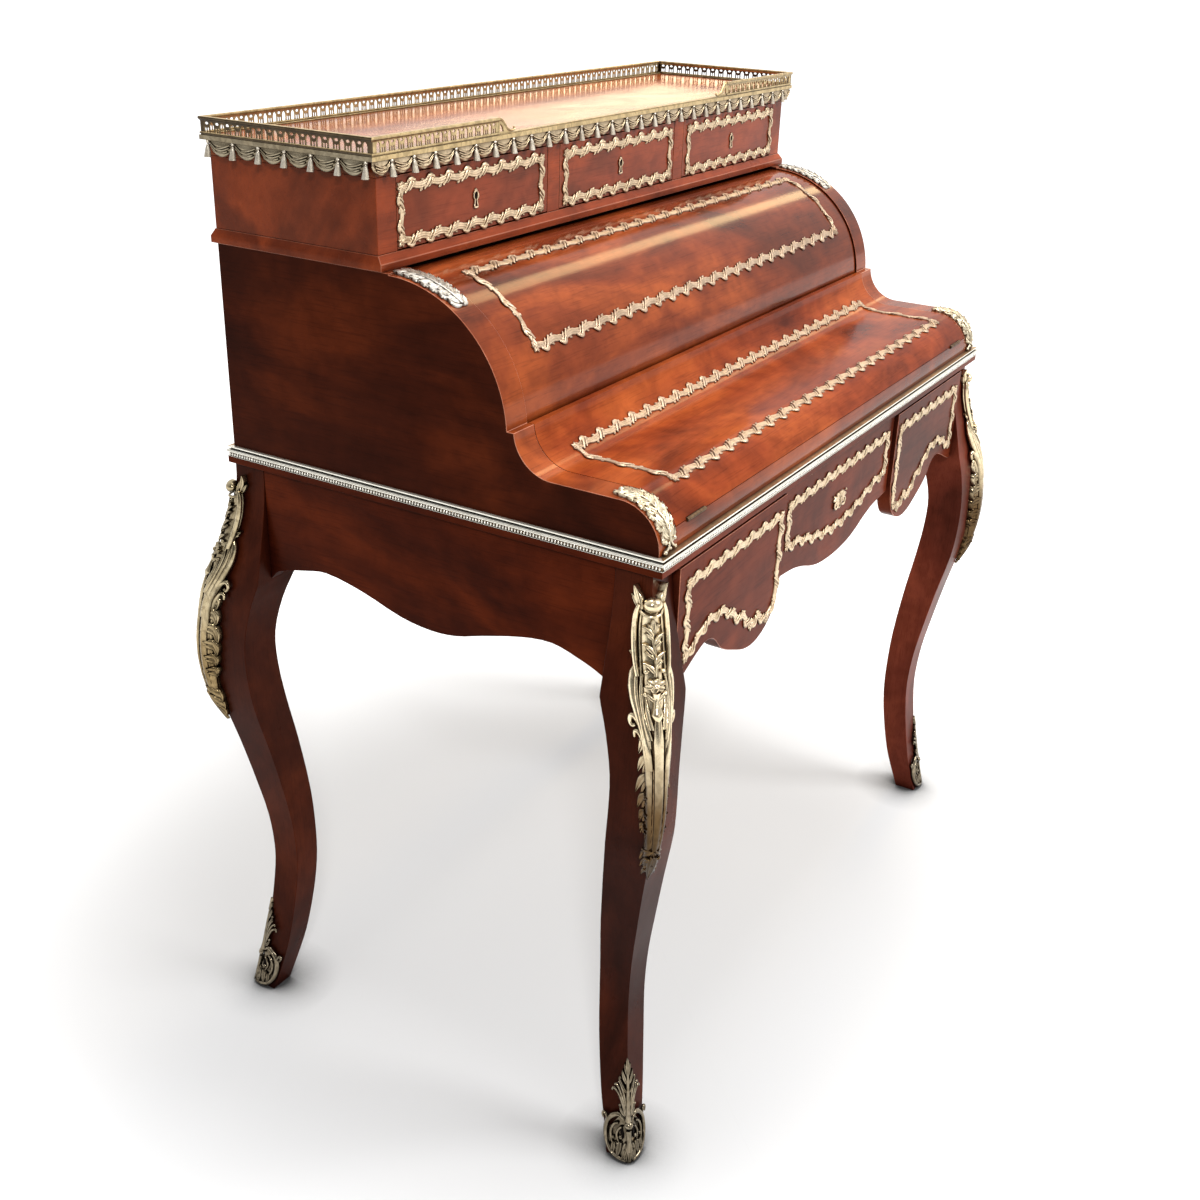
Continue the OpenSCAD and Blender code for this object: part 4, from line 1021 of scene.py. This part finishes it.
def chute(cast):
    """A leaf mount down a leg's edge: ball, sunk panel with a flower, shoulder and reeded stem."""
    cast.patch(lambda v: 16 if v > 664 else lerp(6, 17, (v - 600) / 64), 600, 726, lambda u, v: 2.4, 10, 16)

    def half_side():
        for lift, thick in ((2.6, 0.85), (6.8, 1.1)):
            rail = [(12.6, 727, lift), (16.6, 716, lift), (18.8, 700, lift), (19.4, 684, lift),
                    (18.4, 668, lift), (16.6, 656, lift - 1)]
            cast.tube(rail, [thick * r for r in (1.6, 2.7, 3.0, 2.9, 2.7, 2.6)])
        cast.draw(CHUTE_TUBES, CHUTE_PETALS, CHUTE_BALLS)
        # ragged leaves down both sides
        for z, wide, drop in ((596, 10, 20), (576, 11, 20), (556, 13, 24), (534, 10, 20), (514, 7, 15),
                              (496, 4.5, 11)):
            cast.petal((6.5, z), (7.0 + wide, z - drop), 9.0, 6.4, 5.0, 1.6, 1.2, 2.8, 2.4)
            cast.petal((6, z - 6), (6 + wide * 0.7, z - drop - 4), 5.5, 5.4, 4.4, 1.2, 0.9, 1.6)
    cast.mirrored(half_side)

    # gadrooned ball and its collar
    rows = []
    for i in range(9):
        tilt = math.pi * i / 8
        ring = 7.4 * math.sin(tilt) + 1e-3
        v = 728 - 7.4 * math.cos(tilt)
        rows.append([(ring * c * (1 + 0.05 * (-1) ** j), v, 5.8 + ring * s)
                     for j, (c, s) in enumerate(circle(24))])
    cast.grid(rows, closed=True)
    cast.tube([(-15, 721, 4.6), (-8, 717.5, 6.2), (0, 716.5, 7.4), (8, 717.5, 6.2), (15, 721, 4.6)],
              [1.8, 1.6, 1.5, 1.6, 1.8])
    # spray of leaves on the sunk ground
    cast.tube([(0, 658, 4.6), (0.9, 675, 5.0), (-0.7, 695, 4.8), (0, 708, 4.6)], [1.1, 1.0, 0.9, 0.7])
    for i, z in enumerate((662, 671, 680, 689, 697)):
        lean = 1 if i % 2 else -1
        cast.petal((lean * 0.5, z), (lean * 8.6, z + 9.5), 4.0, 5.4, 6.2, 1.4, 0.8, lean * 1.4, 1.2)
        cast.petal((-lean * 0.5, z + 4), (-lean * 7.4, z + 10), 3.4, 5.0, 5.4, 1.1, 0.6, -lean)
        cast.ball(lean * 5.0, z + 1.0, 4.2, 1.5)
    cast.petal((0, 703), (0, 714.5), 4.6, 5.6, 5.6, 1.4, 0.8)
    # flower in its small vase
    for k in range(6):
        a = math.pi / 3 * k + 0.3
        x, y = math.cos(a), math.sin(a)
        cast.petal((x * 1.2, 650 + y * 1.2), (x * 7.6, 650 + y * 7.6), 5.6, 6.6, 6.4, 1.4, 0.8)
    cast.ball(0, 650, 7.6, 2.3)
    for lean in (-1, 1):
        cast.petal((0, 701), (lean * 4.6, 709), 3.4, 5.2, 5.2, 1.1)
        cast.petal((0, 634), (lean * 6.5, 642), 4, 5.8, 5.6)
        cast.ball(lean * 6.5, 662, 5.4, 2.0)
        cast.ball(lean * 7.5, 640, 5.4, 2.2)
    cast.tube([(0, 643, 6), (0, 637, 6.0), (0, 629, 6.8), (0, 622, 7.6), (0, 616, 7.8)],
              [3.0, 1.6, 2.2, 3.4, 1.2], 4)
    cast.patch(lambda v: lerp(6, 13, (v - 556) / 90), 556, 646, lambda u, v: 5.0 - 0.08 * abs(u), 10, 12)

    # scalloped leaf that carries the side leaves
    def skirt(v):
        t = max(0, (v - 500) / 104)
        return lerp(7.6, 14.5, t) * (0.84 + 0.16 * abs(math.sin(math.pi * (v - 500) / 17.5)))

    def sheet(u, v):
        rim = abs(u) > 0.94 * skirt(v)
        middle = 3.2 * max(0, 1 - (u / 8.5) ** 4)
        return -0.3 - chute_bow(u, v) if rim else 0.9 + middle + 0.4 * math.sin(1.3 * abs(u) + 0.5 * v)

    cast.patch(skirt, 432, 604, sheet, 32, 60)
    # stem of three reeds down the edge
    reed = [(7.4, 618, 6.6), (6.0, 596, 6.4), (4.9, 562, 5.2), (4.3, 522, 4.4), (3.6, 484, 3.6),
            (2.8, 448, 3.0)]
    for side in (-1, 0, 1):
        rise = 0 if side else 1.0
        cast.tube([(side * u, v, h + rise) for u, v, h in reed], [1.8, 2.7, 2.2, 1.9, 1.6, 1.3])
    cast.petal((0, 460), (0, 417), 6.5, 6.0, 2.8, 1.9, 1.5)


SABOT_TUBES = [
    # scrolls of the cap
    ([(5, 4, 3.4), (16, 4.5, 3.8), (26, 10, 3.6), (31, 22, 3.6), (31, 35, 3.6), (27, 47, 3.8), (19, 56, 4),
      (11, 60, 4.2), (6, 56, 4)], [2.2, 2.8, 3.0, 3.0, 3.0, 3.0, 2.8, 2.4, 1.6], 3, 0.14),
    ([(17, 14, 3.6), (23, 22, 3.8), (24, 34, 3.8), (19, 44, 3.8), (13, 48, 4)],
     [1.2, 1.9, 2.0, 1.7, 1.2], 3, 0.14),
    ([(27, 45, 3.6), (31, 54, 4.2), (34.5, 52, 4.4), (33.4, 47, 4.2)], [2.2, 1.9, 1.5, 1.2]),
    ([(12, 22, 3.8), (16, 32, 4.0), (12, 41, 4.2), (8, 45, 4.6)], [1.0, 1.7, 1.5, 1.2]),
    # scrolls up the leg's edge
    ([(3.5, 62, 4), (6.5, 76, 4), (11, 88, 4.4), (17.5, 93.5, 4.8), (20, 90, 4.8)],
     [1.4, 1.9, 1.9, 1.6, 1.3]),
    ([(3.0, 66, 4), (5.5, 80, 4.2), (9.5, 93, 4.4), (14, 99.5, 4.6), (16.5, 97.5, 4.6)],
     [1.2, 1.7, 1.7, 1.5, 1.2]),
    ([(2.6, 74, 4), (4.6, 88, 4.2), (8.0, 100, 4.2), (11.5, 104, 4.2)], [1.0, 1.4, 1.4, 1.0]),
]
SABOT_PETALS = [
    # tongues of the cap
    ((3, 26), (9, 4), 8, 4.2, 3.6, 2.0, 1.2, 0, 0.8),
    ((11, 25), (17, 4), 8, 4.2, 3.6, 2.0, 1.2, 0, 0.8),
    ((20, 22), (24, 4), 7, 4.2, 3.6, 2.0, 1.2, 0, 0.8),
    ((6, 18), (4, 3), 6, 4.2, 3.6, 2.0, 1.2, 0, 0.8),
    # leaves up the leg's edge
    ((2.5, 60), (10.5, 72), 5.0, 4.0, 4.0, 1.3, 0.9, -1.4),
    ((1.8, 92), (10.5, 111), 5.0, 4.2, 4.2, 1.4, 0.9, -1.6, 1.2),
    ((1.2, 103), (6.6, 121), 4.6, 4.0, 3.6, 1.2, 0.8, -1.0),
    ((0.8, 114), (4.0, 130), 3.6, 3.6, 3.0, 1.0, 0.6),
]
SABOT_BALLS = [(10.5, 31, 3.8, 2.4), (21, 27, 3.8, 2.0), (15.5, 21, 3.8, 2.0), (13, 60, 3.8, 2.4),
               (22, 40, 3.8, 1.7), (9.8, 73, 4.4, 1.9), (9.4, 110, 4.2, 1.6)]


def sabot(cast):
    """The shoe of a leg: a scalloped shell under the foot's edge and a leaf up it."""
    def ruffle(u, v):
        return 2.0 + 1.8 * abs(math.cos(u * math.pi / 10.5)) * min(1, (v + 3) / 14)

    cast.patch(lambda v: lerp(22, 31, min(1, v / 14)), 0.4, 22, ruffle, 36, 5)
    cast.grid([[(lerp(-22, 22, j / 12), 0.4, h) for j in range(13)] for h in (-0.3, 2.4)])
    cast.patch(lambda v: lerp(29, 12, max(0, (v - 34) / 22)), 20, 56,
               lambda u, v: 2.5 + 0.7 * math.cos(u * 0.9) * math.sin(v * 0.35), 24, 12)
    # openings in the cap, painted as dark shade
    for side in (-1, 1):
        cast.hole(side * 8.6, 36, 2.3, 7.5, 3.6)
    cast.mirrored(lambda: cast.draw(SABOT_TUBES, SABOT_PETALS, SABOT_BALLS))
    cast.petal((0, 28), (0, 3), 8, 4.8, 4.4, 2.2, 1.2)
    cast.tube([(0, 16, 4.6), (0, 30, 5.0), (0, 43, 5.2)], [2.4, 2.7, 3.2], 3, 0.14)
    cast.ball(0, 49.5, 6.2, 4.6, flat=0.85)
    cast.patch(lambda v: 8, 54, 66, lambda u, v: 2.7, 6, 3)
    cast.tube([(0, 54, 4.0), (0, 66, 4.2), (0, 84, 4.2), (0, 106, 3.8), (0, 126, 3.0)],
              [4.2, 2.8, 2.4, 1.8, 1.0], 4, 0.16)
    cast.petal((0, 118), (0, 137), 5.4, 4.4, 2.8, 1.4, 0.8)
    cast.petal((0, 60), (0, 96), 6, 4.0, 3.4, 1.2)


def leg_mounts():
    corners = [(sx, sy) for sx in (-1, 1) for sy in (-1, 1)]
    for name, draw, bow, front, back in (("chutes", chute, chute_bow, CHUTE, CHUTE_SHADED),
                                         ("sabots", sabot, None, SHOE, SHOE)):
        meshes = []
        for sx, sy in corners:
            cast = Cast(leg_edge(sx, sy, bow))
            draw(cast)
            meshes.append(cast.mesh())
        # the back corners take the darker chute copy: painted shade
        add_piece(name + "_cast", meshes, [front if sy < 0 else back for sx, sy in corners], name)


# ---- acanthus on the cheeks ----

CHEEK_X = 466.5
LEAF_LIFT = 1.7


def acanthus(cast, u, v0, v1, wide, pairs):
    """A long ragged leaf from its root at v0 to its tip at v1."""
    length = v1 - v0
    step = length / pairs

    def half_side():
        for i in range(pairs):
            t = i / pairs
            half = 0.5 * wide * (0.66 + 0.40 * math.sin(math.pi * min(1, 0.15 + t * 0.95)))
            v = v0 + length * t
            cast.petal((1, v), (half, v + step * 1.0), abs(step) * 0.95, LEAF_LIFT, LEAF_LIFT * 0.9,
                       1.3, 0.9, -0.14 * step, 0.9)
            cast.petal((1, v + step * 0.25), (half * 0.86, v + step * 1.42), abs(step) * 0.55,
                       LEAF_LIFT + 0.3, LEAF_LIFT + 0.3, 1.1, 0.7, -0.10 * step)
            cast.petal((0.5, v + step * 0.4), (half * 0.55, v + step * 1.5), abs(step) * 0.6,
                       LEAF_LIFT + 1.0, LEAF_LIFT + 0.6, 1.0, 0.7, -0.08 * step)
            cast.ball(half * 0.98, v + step * 0.42, LEAF_LIFT * 0.7, 1.5)

    first = len(cast.verts)
    cast.mirrored(half_side)
    rib = [(v0, 0.8), (v0 + length * 0.5, 1.4), (v1 - step * 0.5, 0.8)]
    cast.tube([(0, v, LEAF_LIFT + h) for v, h in rib], [2.2, 1.7, 0.8], 3, 0.2)
    cast.petal((0, v1 - step * 1.3), (0, v1), abs(step) * 0.9, LEAF_LIFT + 0.6, LEAF_LIFT * 0.7, 1.2, 0.8)
    cast.verts[first:] = [(p[0] + u, p[1], p[2]) for p in cast.verts[first:]]


def cheek_leaves():
    radius = 146
    run = math.radians(1) * radius
    upper = profile(arc(*ROLL, radius, 40, 90, 60))
    lower = profile([(8.5, 777), (8.5, 781)] + nose_points[1:] + [(75, 828)])
    uppers, lowers = [], []
    for x in (-CHEEK_X, CHEEK_X):
        cast = Cast(upper)
        acanthus(cast, x, 18 * run, 49 * run, 29, 7)
        uppers.append(cast.mesh())
        cast = Cast(lower)
        acanthus(cast, x, 12, 86, 31, 6)
        for du, v, r in ((-9, 13, 2.6), (9, 13, 2.6), (-10, 3, 2.8), (10, 4, 2.2), (0, 5, 2.0)):
            cast.ball(x + du, v, 1.8, r)
        for side, v in ((-1, 3), (1, 4)):
            cast.tube([(x + side * 10, v, 1.8), (x + side * 4, v + 4, 2.4), (x, 14, 2.4)], [1.6, 1.5, 1.2])
        cast.ball(x, 87, 2.4, 3.2)
        cast.ball(x - 4, 84, 2.0, 2.2)
        lowers.append(cast.mesh())
    add_piece("cheek_leaves_upper", uppers, SILVER, "cheek_mounts_upper")
    add_piece("cheek_leaves_lower", lowers, PALE_GILT, "cheek_mounts_lower")


# ---- beads along the table moulding ----

EDGE_HALF, EDGE_FRONT, EDGE_BACK = 490.8, 0.0, 578.1
BEAD_PITCH = 3.8
BEAD_Z = 767.6
BEAD_TOP = 771

# (inward, height) round the moulding: fillet, deep groove, round band and the beads' bed
MOULDING = [(9, 777), (1.6, 777), (1.1, 776.6), (1.1, 775.8), (3.6, 775.6), (4.2, 775.0), (4.2, 773.6),
            (3.4, 773.1), (1.2, 772.8), (0.4, 772.3), (0.0, 771.4), (0.2, 770.5), (0.9, 770.1), (2.6, 769.9),
            (2.6, 765.6), (1.0, 765.4), (0.9, 765.0), (9, 765.0)]
# faces painted dark as shade: the groove's take the near-black of a hole, the beads' bed brown brass
PAINTED_SHADE_FACES = (3, 4, 5, 6, 12, 13)


def table_moulding():
    """Brass moulding round the table, with a row of beads along each side."""
    cast = Cast(row)
    corners = [(-1, EDGE_FRONT), (1, EDGE_FRONT), (1, EDGE_BACK), (-1, EDGE_BACK), (-1, EDGE_FRONT)]
    cast.grid([[(side * (EDGE_HALF - d), y + d if y == EDGE_FRONT else y - d, z) for d, z in MOULDING]
               for side, y in corners])
    # the groove's faces are painted near-black: painted shade
    cast.dark = [i for i in range(len(cast.faces)) if i % (len(MOULDING) - 1) in PAINTED_SHADE_FACES]
    meshes = [cast.mesh()]
    across = (-EDGE_HALF + 3, EDGE_HALF - 3)
    deep = (EDGE_FRONT + 3, EDGE_BACK - 3)
    for surface, (u0, u1) in ((upright(EDGE_FRONT), across), (side_plane(EDGE_HALF, -1), deep),
                              (side_plane(EDGE_HALF, 1), deep), (upright(EDGE_BACK, 1), across)):
        cast = Cast(surface)
        count = round((u1 - u0) / BEAD_PITCH)
        for i in range(count):
            u = lerp(u0, u1, (i + 0.5) / count)
            rows = []
            for t in range(5):
                tilt = math.pi * t / 4
                r = math.sin(tilt) + 1e-3
                rows.append([(u + 1.15 * r * c, BEAD_Z + 2.2 * math.cos(tilt), -1.7 + 1.6 * r * s)
                             for c, s in circle(6)])
            cast.grid(rows, closed=True)
        meshes.append(cast.mesh())
    piece = add_piece("moulding_cast", meshes, [CREAM] + [BEAD] * 4, "table_moulding")
    piece.data.materials.append(EDGE_BRASS)
    brass = len(piece.data.materials) - 1
    for f in piece.data.polygons:
        f.use_smooth = f.area < 1e-4
        ledge = f.normal.z > 0.95 and abs(f.center.x) < 0.01
        # the beads' bed takes brown brass instead: softer painted shade between the beads
        shade_behind_beads = f.material_index == brass - 1 and f.center.z < BEAD_TOP * MM
        if ledge or shade_behind_beads:
            f.material_index = brass


# ---- pierced gallery ----

GAL_Z = 1124.2
GAL_HALF = 494.2
GAL_FRONT = 343.4
GAL_BACK = 572.5
GAL_OPEN = 217
LIGHT_PITCH = 14.6
CUT_EASE = 0.18

# the openings, as (across, up) from the middle line of each
ARCH = [(-2.9, 1.3), (2.9, 1.3), (2.9, 8.0), (2.3, 9.9), (1.2, 11.3), (0, 12.0), (-1.2, 11.3),
        (-2.3, 9.9), (-2.9, 8.0)]
HALF_LIGHT = [(0.4, 1.3), (2.9, 1.3), (2.9, 6.6), (0.4, 5.6)]
LOZENGE = [(-2.7, 10.2), (-1.4, 9.2), (1.4, 9.2), (2.7, 10.2), (1.6, 11.9), (-1.6, 11.9)]
# (outward, up) round the flared rail and the foot under the pierced plates
RAIL = [(-1.9, 12.4), (-0.1, 12.4), (0.4, 13.6), (1.3, 14.4), (1.5, 15.8), (1.1, 16.9), (0.2, 17.2),
        (-2.2, 17.2), (-3.1, 16.6), (-3.2, 15.4), (-2.3, 14.2)]
FOOT = [(-2.4, 0), (0.9, 0), (0.9, 1.1), (0.4, 1.7), (-2.0, 1.7), (-2.4, 1.1)]


def flat_shape(outline, holes, thick):
    """A plate cut from a flat outline, from -thick to 0 in its own z."""
    curve = bpy.data.curves.new("cut", "CURVE")
    curve.dimensions = "2D"
    curve.fill_mode = "BOTH"
    curve.extrude = thick / 2
    curve.bevel_depth = CUT_EASE
    curve.bevel_resolution = 0
    curve.offset = -CUT_EASE
    for loop in [outline] + holes:
        spline = curve.splines.new("POLY")
        spline.points.add(len(loop) - 1)
        for point, (u, v) in zip(spline.points, loop):
            point.co = (u, v, 0, 1)
        spline.use_cyclic_u = True
    holder = linked("cut", curve)
    mesh = bpy.data.meshes.new_from_object(holder)
    bpy.data.objects.remove(holder)
    bpy.data.curves.remove(curve)
    return mesh


def pierced(length):
    """A stretch of gallery: tall arched lights between ones crossed by a lozenge."""
    count = max(1, int(length // LIGHT_PITCH))
    start = (length - count * LIGHT_PITCH) / 2
    holes = []
    for i in range(count):
        u = start + i * LIGHT_PITCH + 0.25 * LIGHT_PITCH
        holes.append([(u + a, b) for a, b in ARCH])
        u += 0.5 * LIGHT_PITCH
        for side in (-1, 1):
            holes.append([(u + side * a, b) for a, b in HALF_LIGHT][::side])
        holes.append([(u + a, b) for a, b in LOZENGE])
    return flat_shape([(0, 0), (length, 0), (length, 13.2), (0, 13.2)], holes, 1.0)


def gallery():
    meshes = []

    def stand(mesh, place):
        for v in mesh.vertices:
            v.co = place(v.co.x, v.co.y, v.co.z)
        meshes.append(mesh)

    slope = [(0, 0), (25, 0)]
    slope += [(25 - 25 * t / 8, 1 + 14.4 * (3 * (t / 8) ** 2 - 2 * (t / 8) ** 3)) for t in range(1, 9)]
    hole = [(2.5, 2), (9, 2), (6.4, 7.5), (2.5, 10.5)]
    for sx in (-1, 1):
        stand(pierced(GAL_OPEN - 2),
              lambda u, v, w: row(sx * (GAL_HALF - 2 - u), GAL_FRONT + 1 + w, GAL_Z + v))
        stand(pierced(GAL_BACK - GAL_FRONT),
              lambda u, v, w: row(sx * (GAL_HALF - 1 + w), GAL_FRONT + u, GAL_Z + v))
        stand(flat_shape(slope, [hole], 1.6),
              lambda u, v, w: row(sx * (GAL_HALF - GAL_OPEN - u), GAL_FRONT + 1 + w, GAL_Z + v))
    stand(pierced(2 * GAL_HALF - 4), lambda u, v, w: row(u - GAL_HALF + 2, GAL_BACK - 1 + w, GAL_Z + v))

    # the rail and foot run round three sides and both front stretches
    x0 = GAL_HALF - GAL_OPEN
    ground = [(-x0, GAL_FRONT), (-GAL_HALF, GAL_FRONT), (-GAL_HALF, GAL_BACK), (GAL_HALF, GAL_BACK),
              (GAL_HALF, GAL_FRONT), (x0, GAL_FRONT)]
    inside = Vector((0, 458))
    for shape in (RAIL, FOOT):
        cast = Cast(lambda u, v, h: row(u, v, GAL_Z + h))
        rows = []
        for i, (x, y) in enumerate(ground):
            here = Vector((x, y))
            before = (here - Vector(ground[i - 1])).normalized() if i else None
            after = (Vector(ground[i + 1]) - here).normalized() if i < len(ground) - 1 else None
            one = before or after
            two = after or before
            out = Vector((-one.y, one.x)) + Vector((-two.y, two.x))
            out = out.normalized() * (2 ** 0.5 if one.dot(two) < 0.5 else 1)
            out = -out if out.dot(here - inside) < 0 else out
            rows.append([(x + out.x * o, y + out.y * o, up) for o, up in shape])
        cast.ended(rows)
        meshes.append(cast.mesh())
    # scrolled ends of the rail
    scroll = [(1, 15), (-5, 14.4), (-11, 10), (-16, 4.6), (-22, 1.9), (-28, 1.6), (-31, 3.4), (-29.5, 4.8)]
    for sx in (-1, 1):
        cast = Cast(upright(GAL_FRONT + 1))
        cast.tube([(sx * (x0 + u), GAL_Z + v, 0) for u, v in scroll],
                  [2.0, 1.9, 1.8, 1.7, 1.5, 1.4, 1.3, 1.2])
        meshes.append(cast.mesh())
    piece = add_piece("gallery_pierced", meshes, GALLERY, "gallery")
    # faces on the outside of the sides take a darker copy of the gilt: painted shade
    piece.data.materials[1] = GALLERY_SHADED
    for f in piece.data.polygons:
        f.use_smooth = False
        outer = f.normal.x * f.center.x > -0.5 * abs(f.center.x) and f.normal.z < 0.6
        f.material_index = 1 if outer and abs(f.center.x) > (GAL_HALF - 4) * MM else 0


leg_mounts()
cheek_leaves()
table_moulding()
gallery()


# ---------------------------------------------------------------- studio

# the floor's own glow near the desk and far away; the lower glow near it paints a shadow round the desk
FLOOR_GLOW = (0.145, 0.95)
# how open the floor is right under the desk, close to it and away from it, where the painted shadow is
# darkest, paler and gone
OPEN_STEPS = (0.5, 0.72, 0.97)


def area_light(name, place, aim, size, size_y, power, colour=WHITE, beam=180):
    lamp = bpy.data.lights.new(name, "AREA")
    lamp.shape = "RECTANGLE"
    lamp.size = size
    lamp.size_y = size_y
    lamp.energy = power
    lamp.color = colour
    lamp.spread = math.radians(beam)
    holder = linked(name, lamp)
    holder.location = place
    holder.rotation_euler = (Vector(aim) - Vector(place)).to_track_quat("-Z", "Y").to_euler()
    holder.visible_camera = False


def seen_rays(tree):
    """The light path, and 1 for rays that look at the backdrop straight or through glass."""
    path = add(tree, "LightPath").outputs
    return path, maths(tree, "MAXIMUM", path["Is Camera Ray"], path["Is Transmission Ray"])


def backdrop():
    """White where it is looked at; as light, a room that is brighter on one side."""
    world = bpy.data.worlds.new("studio")
    bpy.context.scene.world = world
    world.use_nodes = True
    tree = world.node_tree
    tree.nodes.clear()
    where = add(tree, "TexCoord")
    bright_side = (0.62, 0.42, 0.66)
    sides = add(tree, "VectorMath", {0: where.outputs["Generated"], 1: bright_side}, operation="DOT_PRODUCT")
    facing = sides.outputs["Value"]
    level = spread(tree, facing, 0.10, 0.85, -0.7, 0.75, **EASED)
    room = add(tree, "Background", {"Color": (0.99, 0.99, 1), "Strength": level})
    white = add(tree, "Background", {"Color": WHITE, "Strength": 1.0})
    path, direct = seen_rays(tree)
    mirrored = maths(tree, "MULTIPLY", path["Is Glossy Ray"], spread(tree, facing, 0, 1, 0.3, 0.95, **EASED))
    choose = add(tree, "MixShader", {0: maths(tree, "MAXIMUM", direct, mirrored), 1: room.outputs[0],
                                     2: white.outputs[0]})
    add(tree, "OutputWorld", {0: choose.outputs[0]})


def studio_floor():
    """A pale floor that runs into the backdrop and keeps the shadow of what stands on it, deepened by a
    shadow painted under and round the desk.
    """
    mat, tree, shader = new_material("studio_floor")
    # painted shadow: the floor's colour and glow darken where the desk and its feet stand close
    painted_contact_shadow = openness(tree, 0.07)
    place = add(tree, "TexCoord")
    shift = add(tree, "VectorMath", {0: place.outputs["Object"], 1: (0.12, -0.04, 0)}, operation="ADD")
    far = add(tree, "VectorMath", {0: shift.outputs[0]}, operation="LENGTH").outputs["Value"]
    path, direct = seen_rays(tree)
    looked_at = maths(tree, "MAXIMUM", direct, path["Is Glossy Ray"])
    # painted shadow: the glow is lower near the desk
    glow_with_painted_shadow = maths(tree, "MULTIPLY", looked_at, spread(tree, far, *FLOOR_GLOW, 0.45, 1.25, **EASED))
    fill(tree, shader, {
        "Base Color": ramp(tree, painted_contact_shadow, list(zip(OPEN_STEPS, map(grey, (0.05, 0.30, 0.6))))),
        "Emission Color": ramp(tree, painted_contact_shadow, list(zip(OPEN_STEPS, map(grey, (0.08, 0.5, 1))))),
        "Emission Strength": glow_with_painted_shadow, "Roughness": 0.95, "Specular IOR Level": 0.1})
    b = bmesh.new()
    bmesh.ops.create_grid(b, x_segments=1, y_segments=1, size=40)
    mesh = bpy.data.meshes.new("studio_floor")
    b.to_mesh(mesh)
    b.free()
    mesh.materials.append(mat)
    floor = linked("studio_floor", mesh)


def lamps():
    """Soft boxes: two in front, one above, two warm ones on the right and a small bright one on the left."""
    area_light("key", (1.0, -2.9, 3.1), (0, 0, 0.8), 1.6, 1.2, 38, beam=110)
    area_light("window", (3.4, 2.5, 1.42), (0, 0.2, 1.3), 4.4, 0.4, 3.8, (1, 0.72, 0.36), beam=90)
    area_light("band", (3.4, 0.2, 2.8), (3.4, 0.2, 0), 3.4, 0.38, 24, (1, 0.74, 0.38))
    area_light("above", (0, -0.05, 3.4), (0, -0.05, 0), 1.7, 1.0, 22, beam=130)
    area_light("fill", (-1.6, -3.2, 1.6), (0, 0, 0.6), 1.8, 1.4, 7)
    area_light("spark", (-2.6, -1.6, 2.6), (-0.4, -0.2, 0.7), 0.25, 0.25, 4.0, beam=60)


def camera():
    """From the desk's front left and above, turned a little about its own line of sight."""
    yaw = math.radians(-59.702)
    pitch = math.radians(-25.3009)
    roll = math.radians(1.9995)
    forward = Vector((-math.sin(yaw) * math.cos(pitch), math.cos(yaw) * math.cos(pitch), math.sin(pitch)))
    right = forward.cross(Vector((0, 0, 1))).normalized()
    up = right.cross(forward)
    right, up = math.cos(roll) * right + math.sin(roll) * up, math.cos(roll) * up - math.sin(roll) * right
    data = bpy.data.cameras.new("camera")
    data.sensor_width = 36
    data.lens = 43.08
    holder = linked("camera", data)
    turn = Matrix((right, up, -forward)).transposed().to_4x4()
    holder.matrix_world = Matrix.Translation((-1.6245, -0.8844, 1.3382)) @ turn
    bpy.context.scene.camera = holder


backdrop()
studio_floor()
lamps()
camera()
bpy.context.scene.view_settings.view_transform = "Standard"
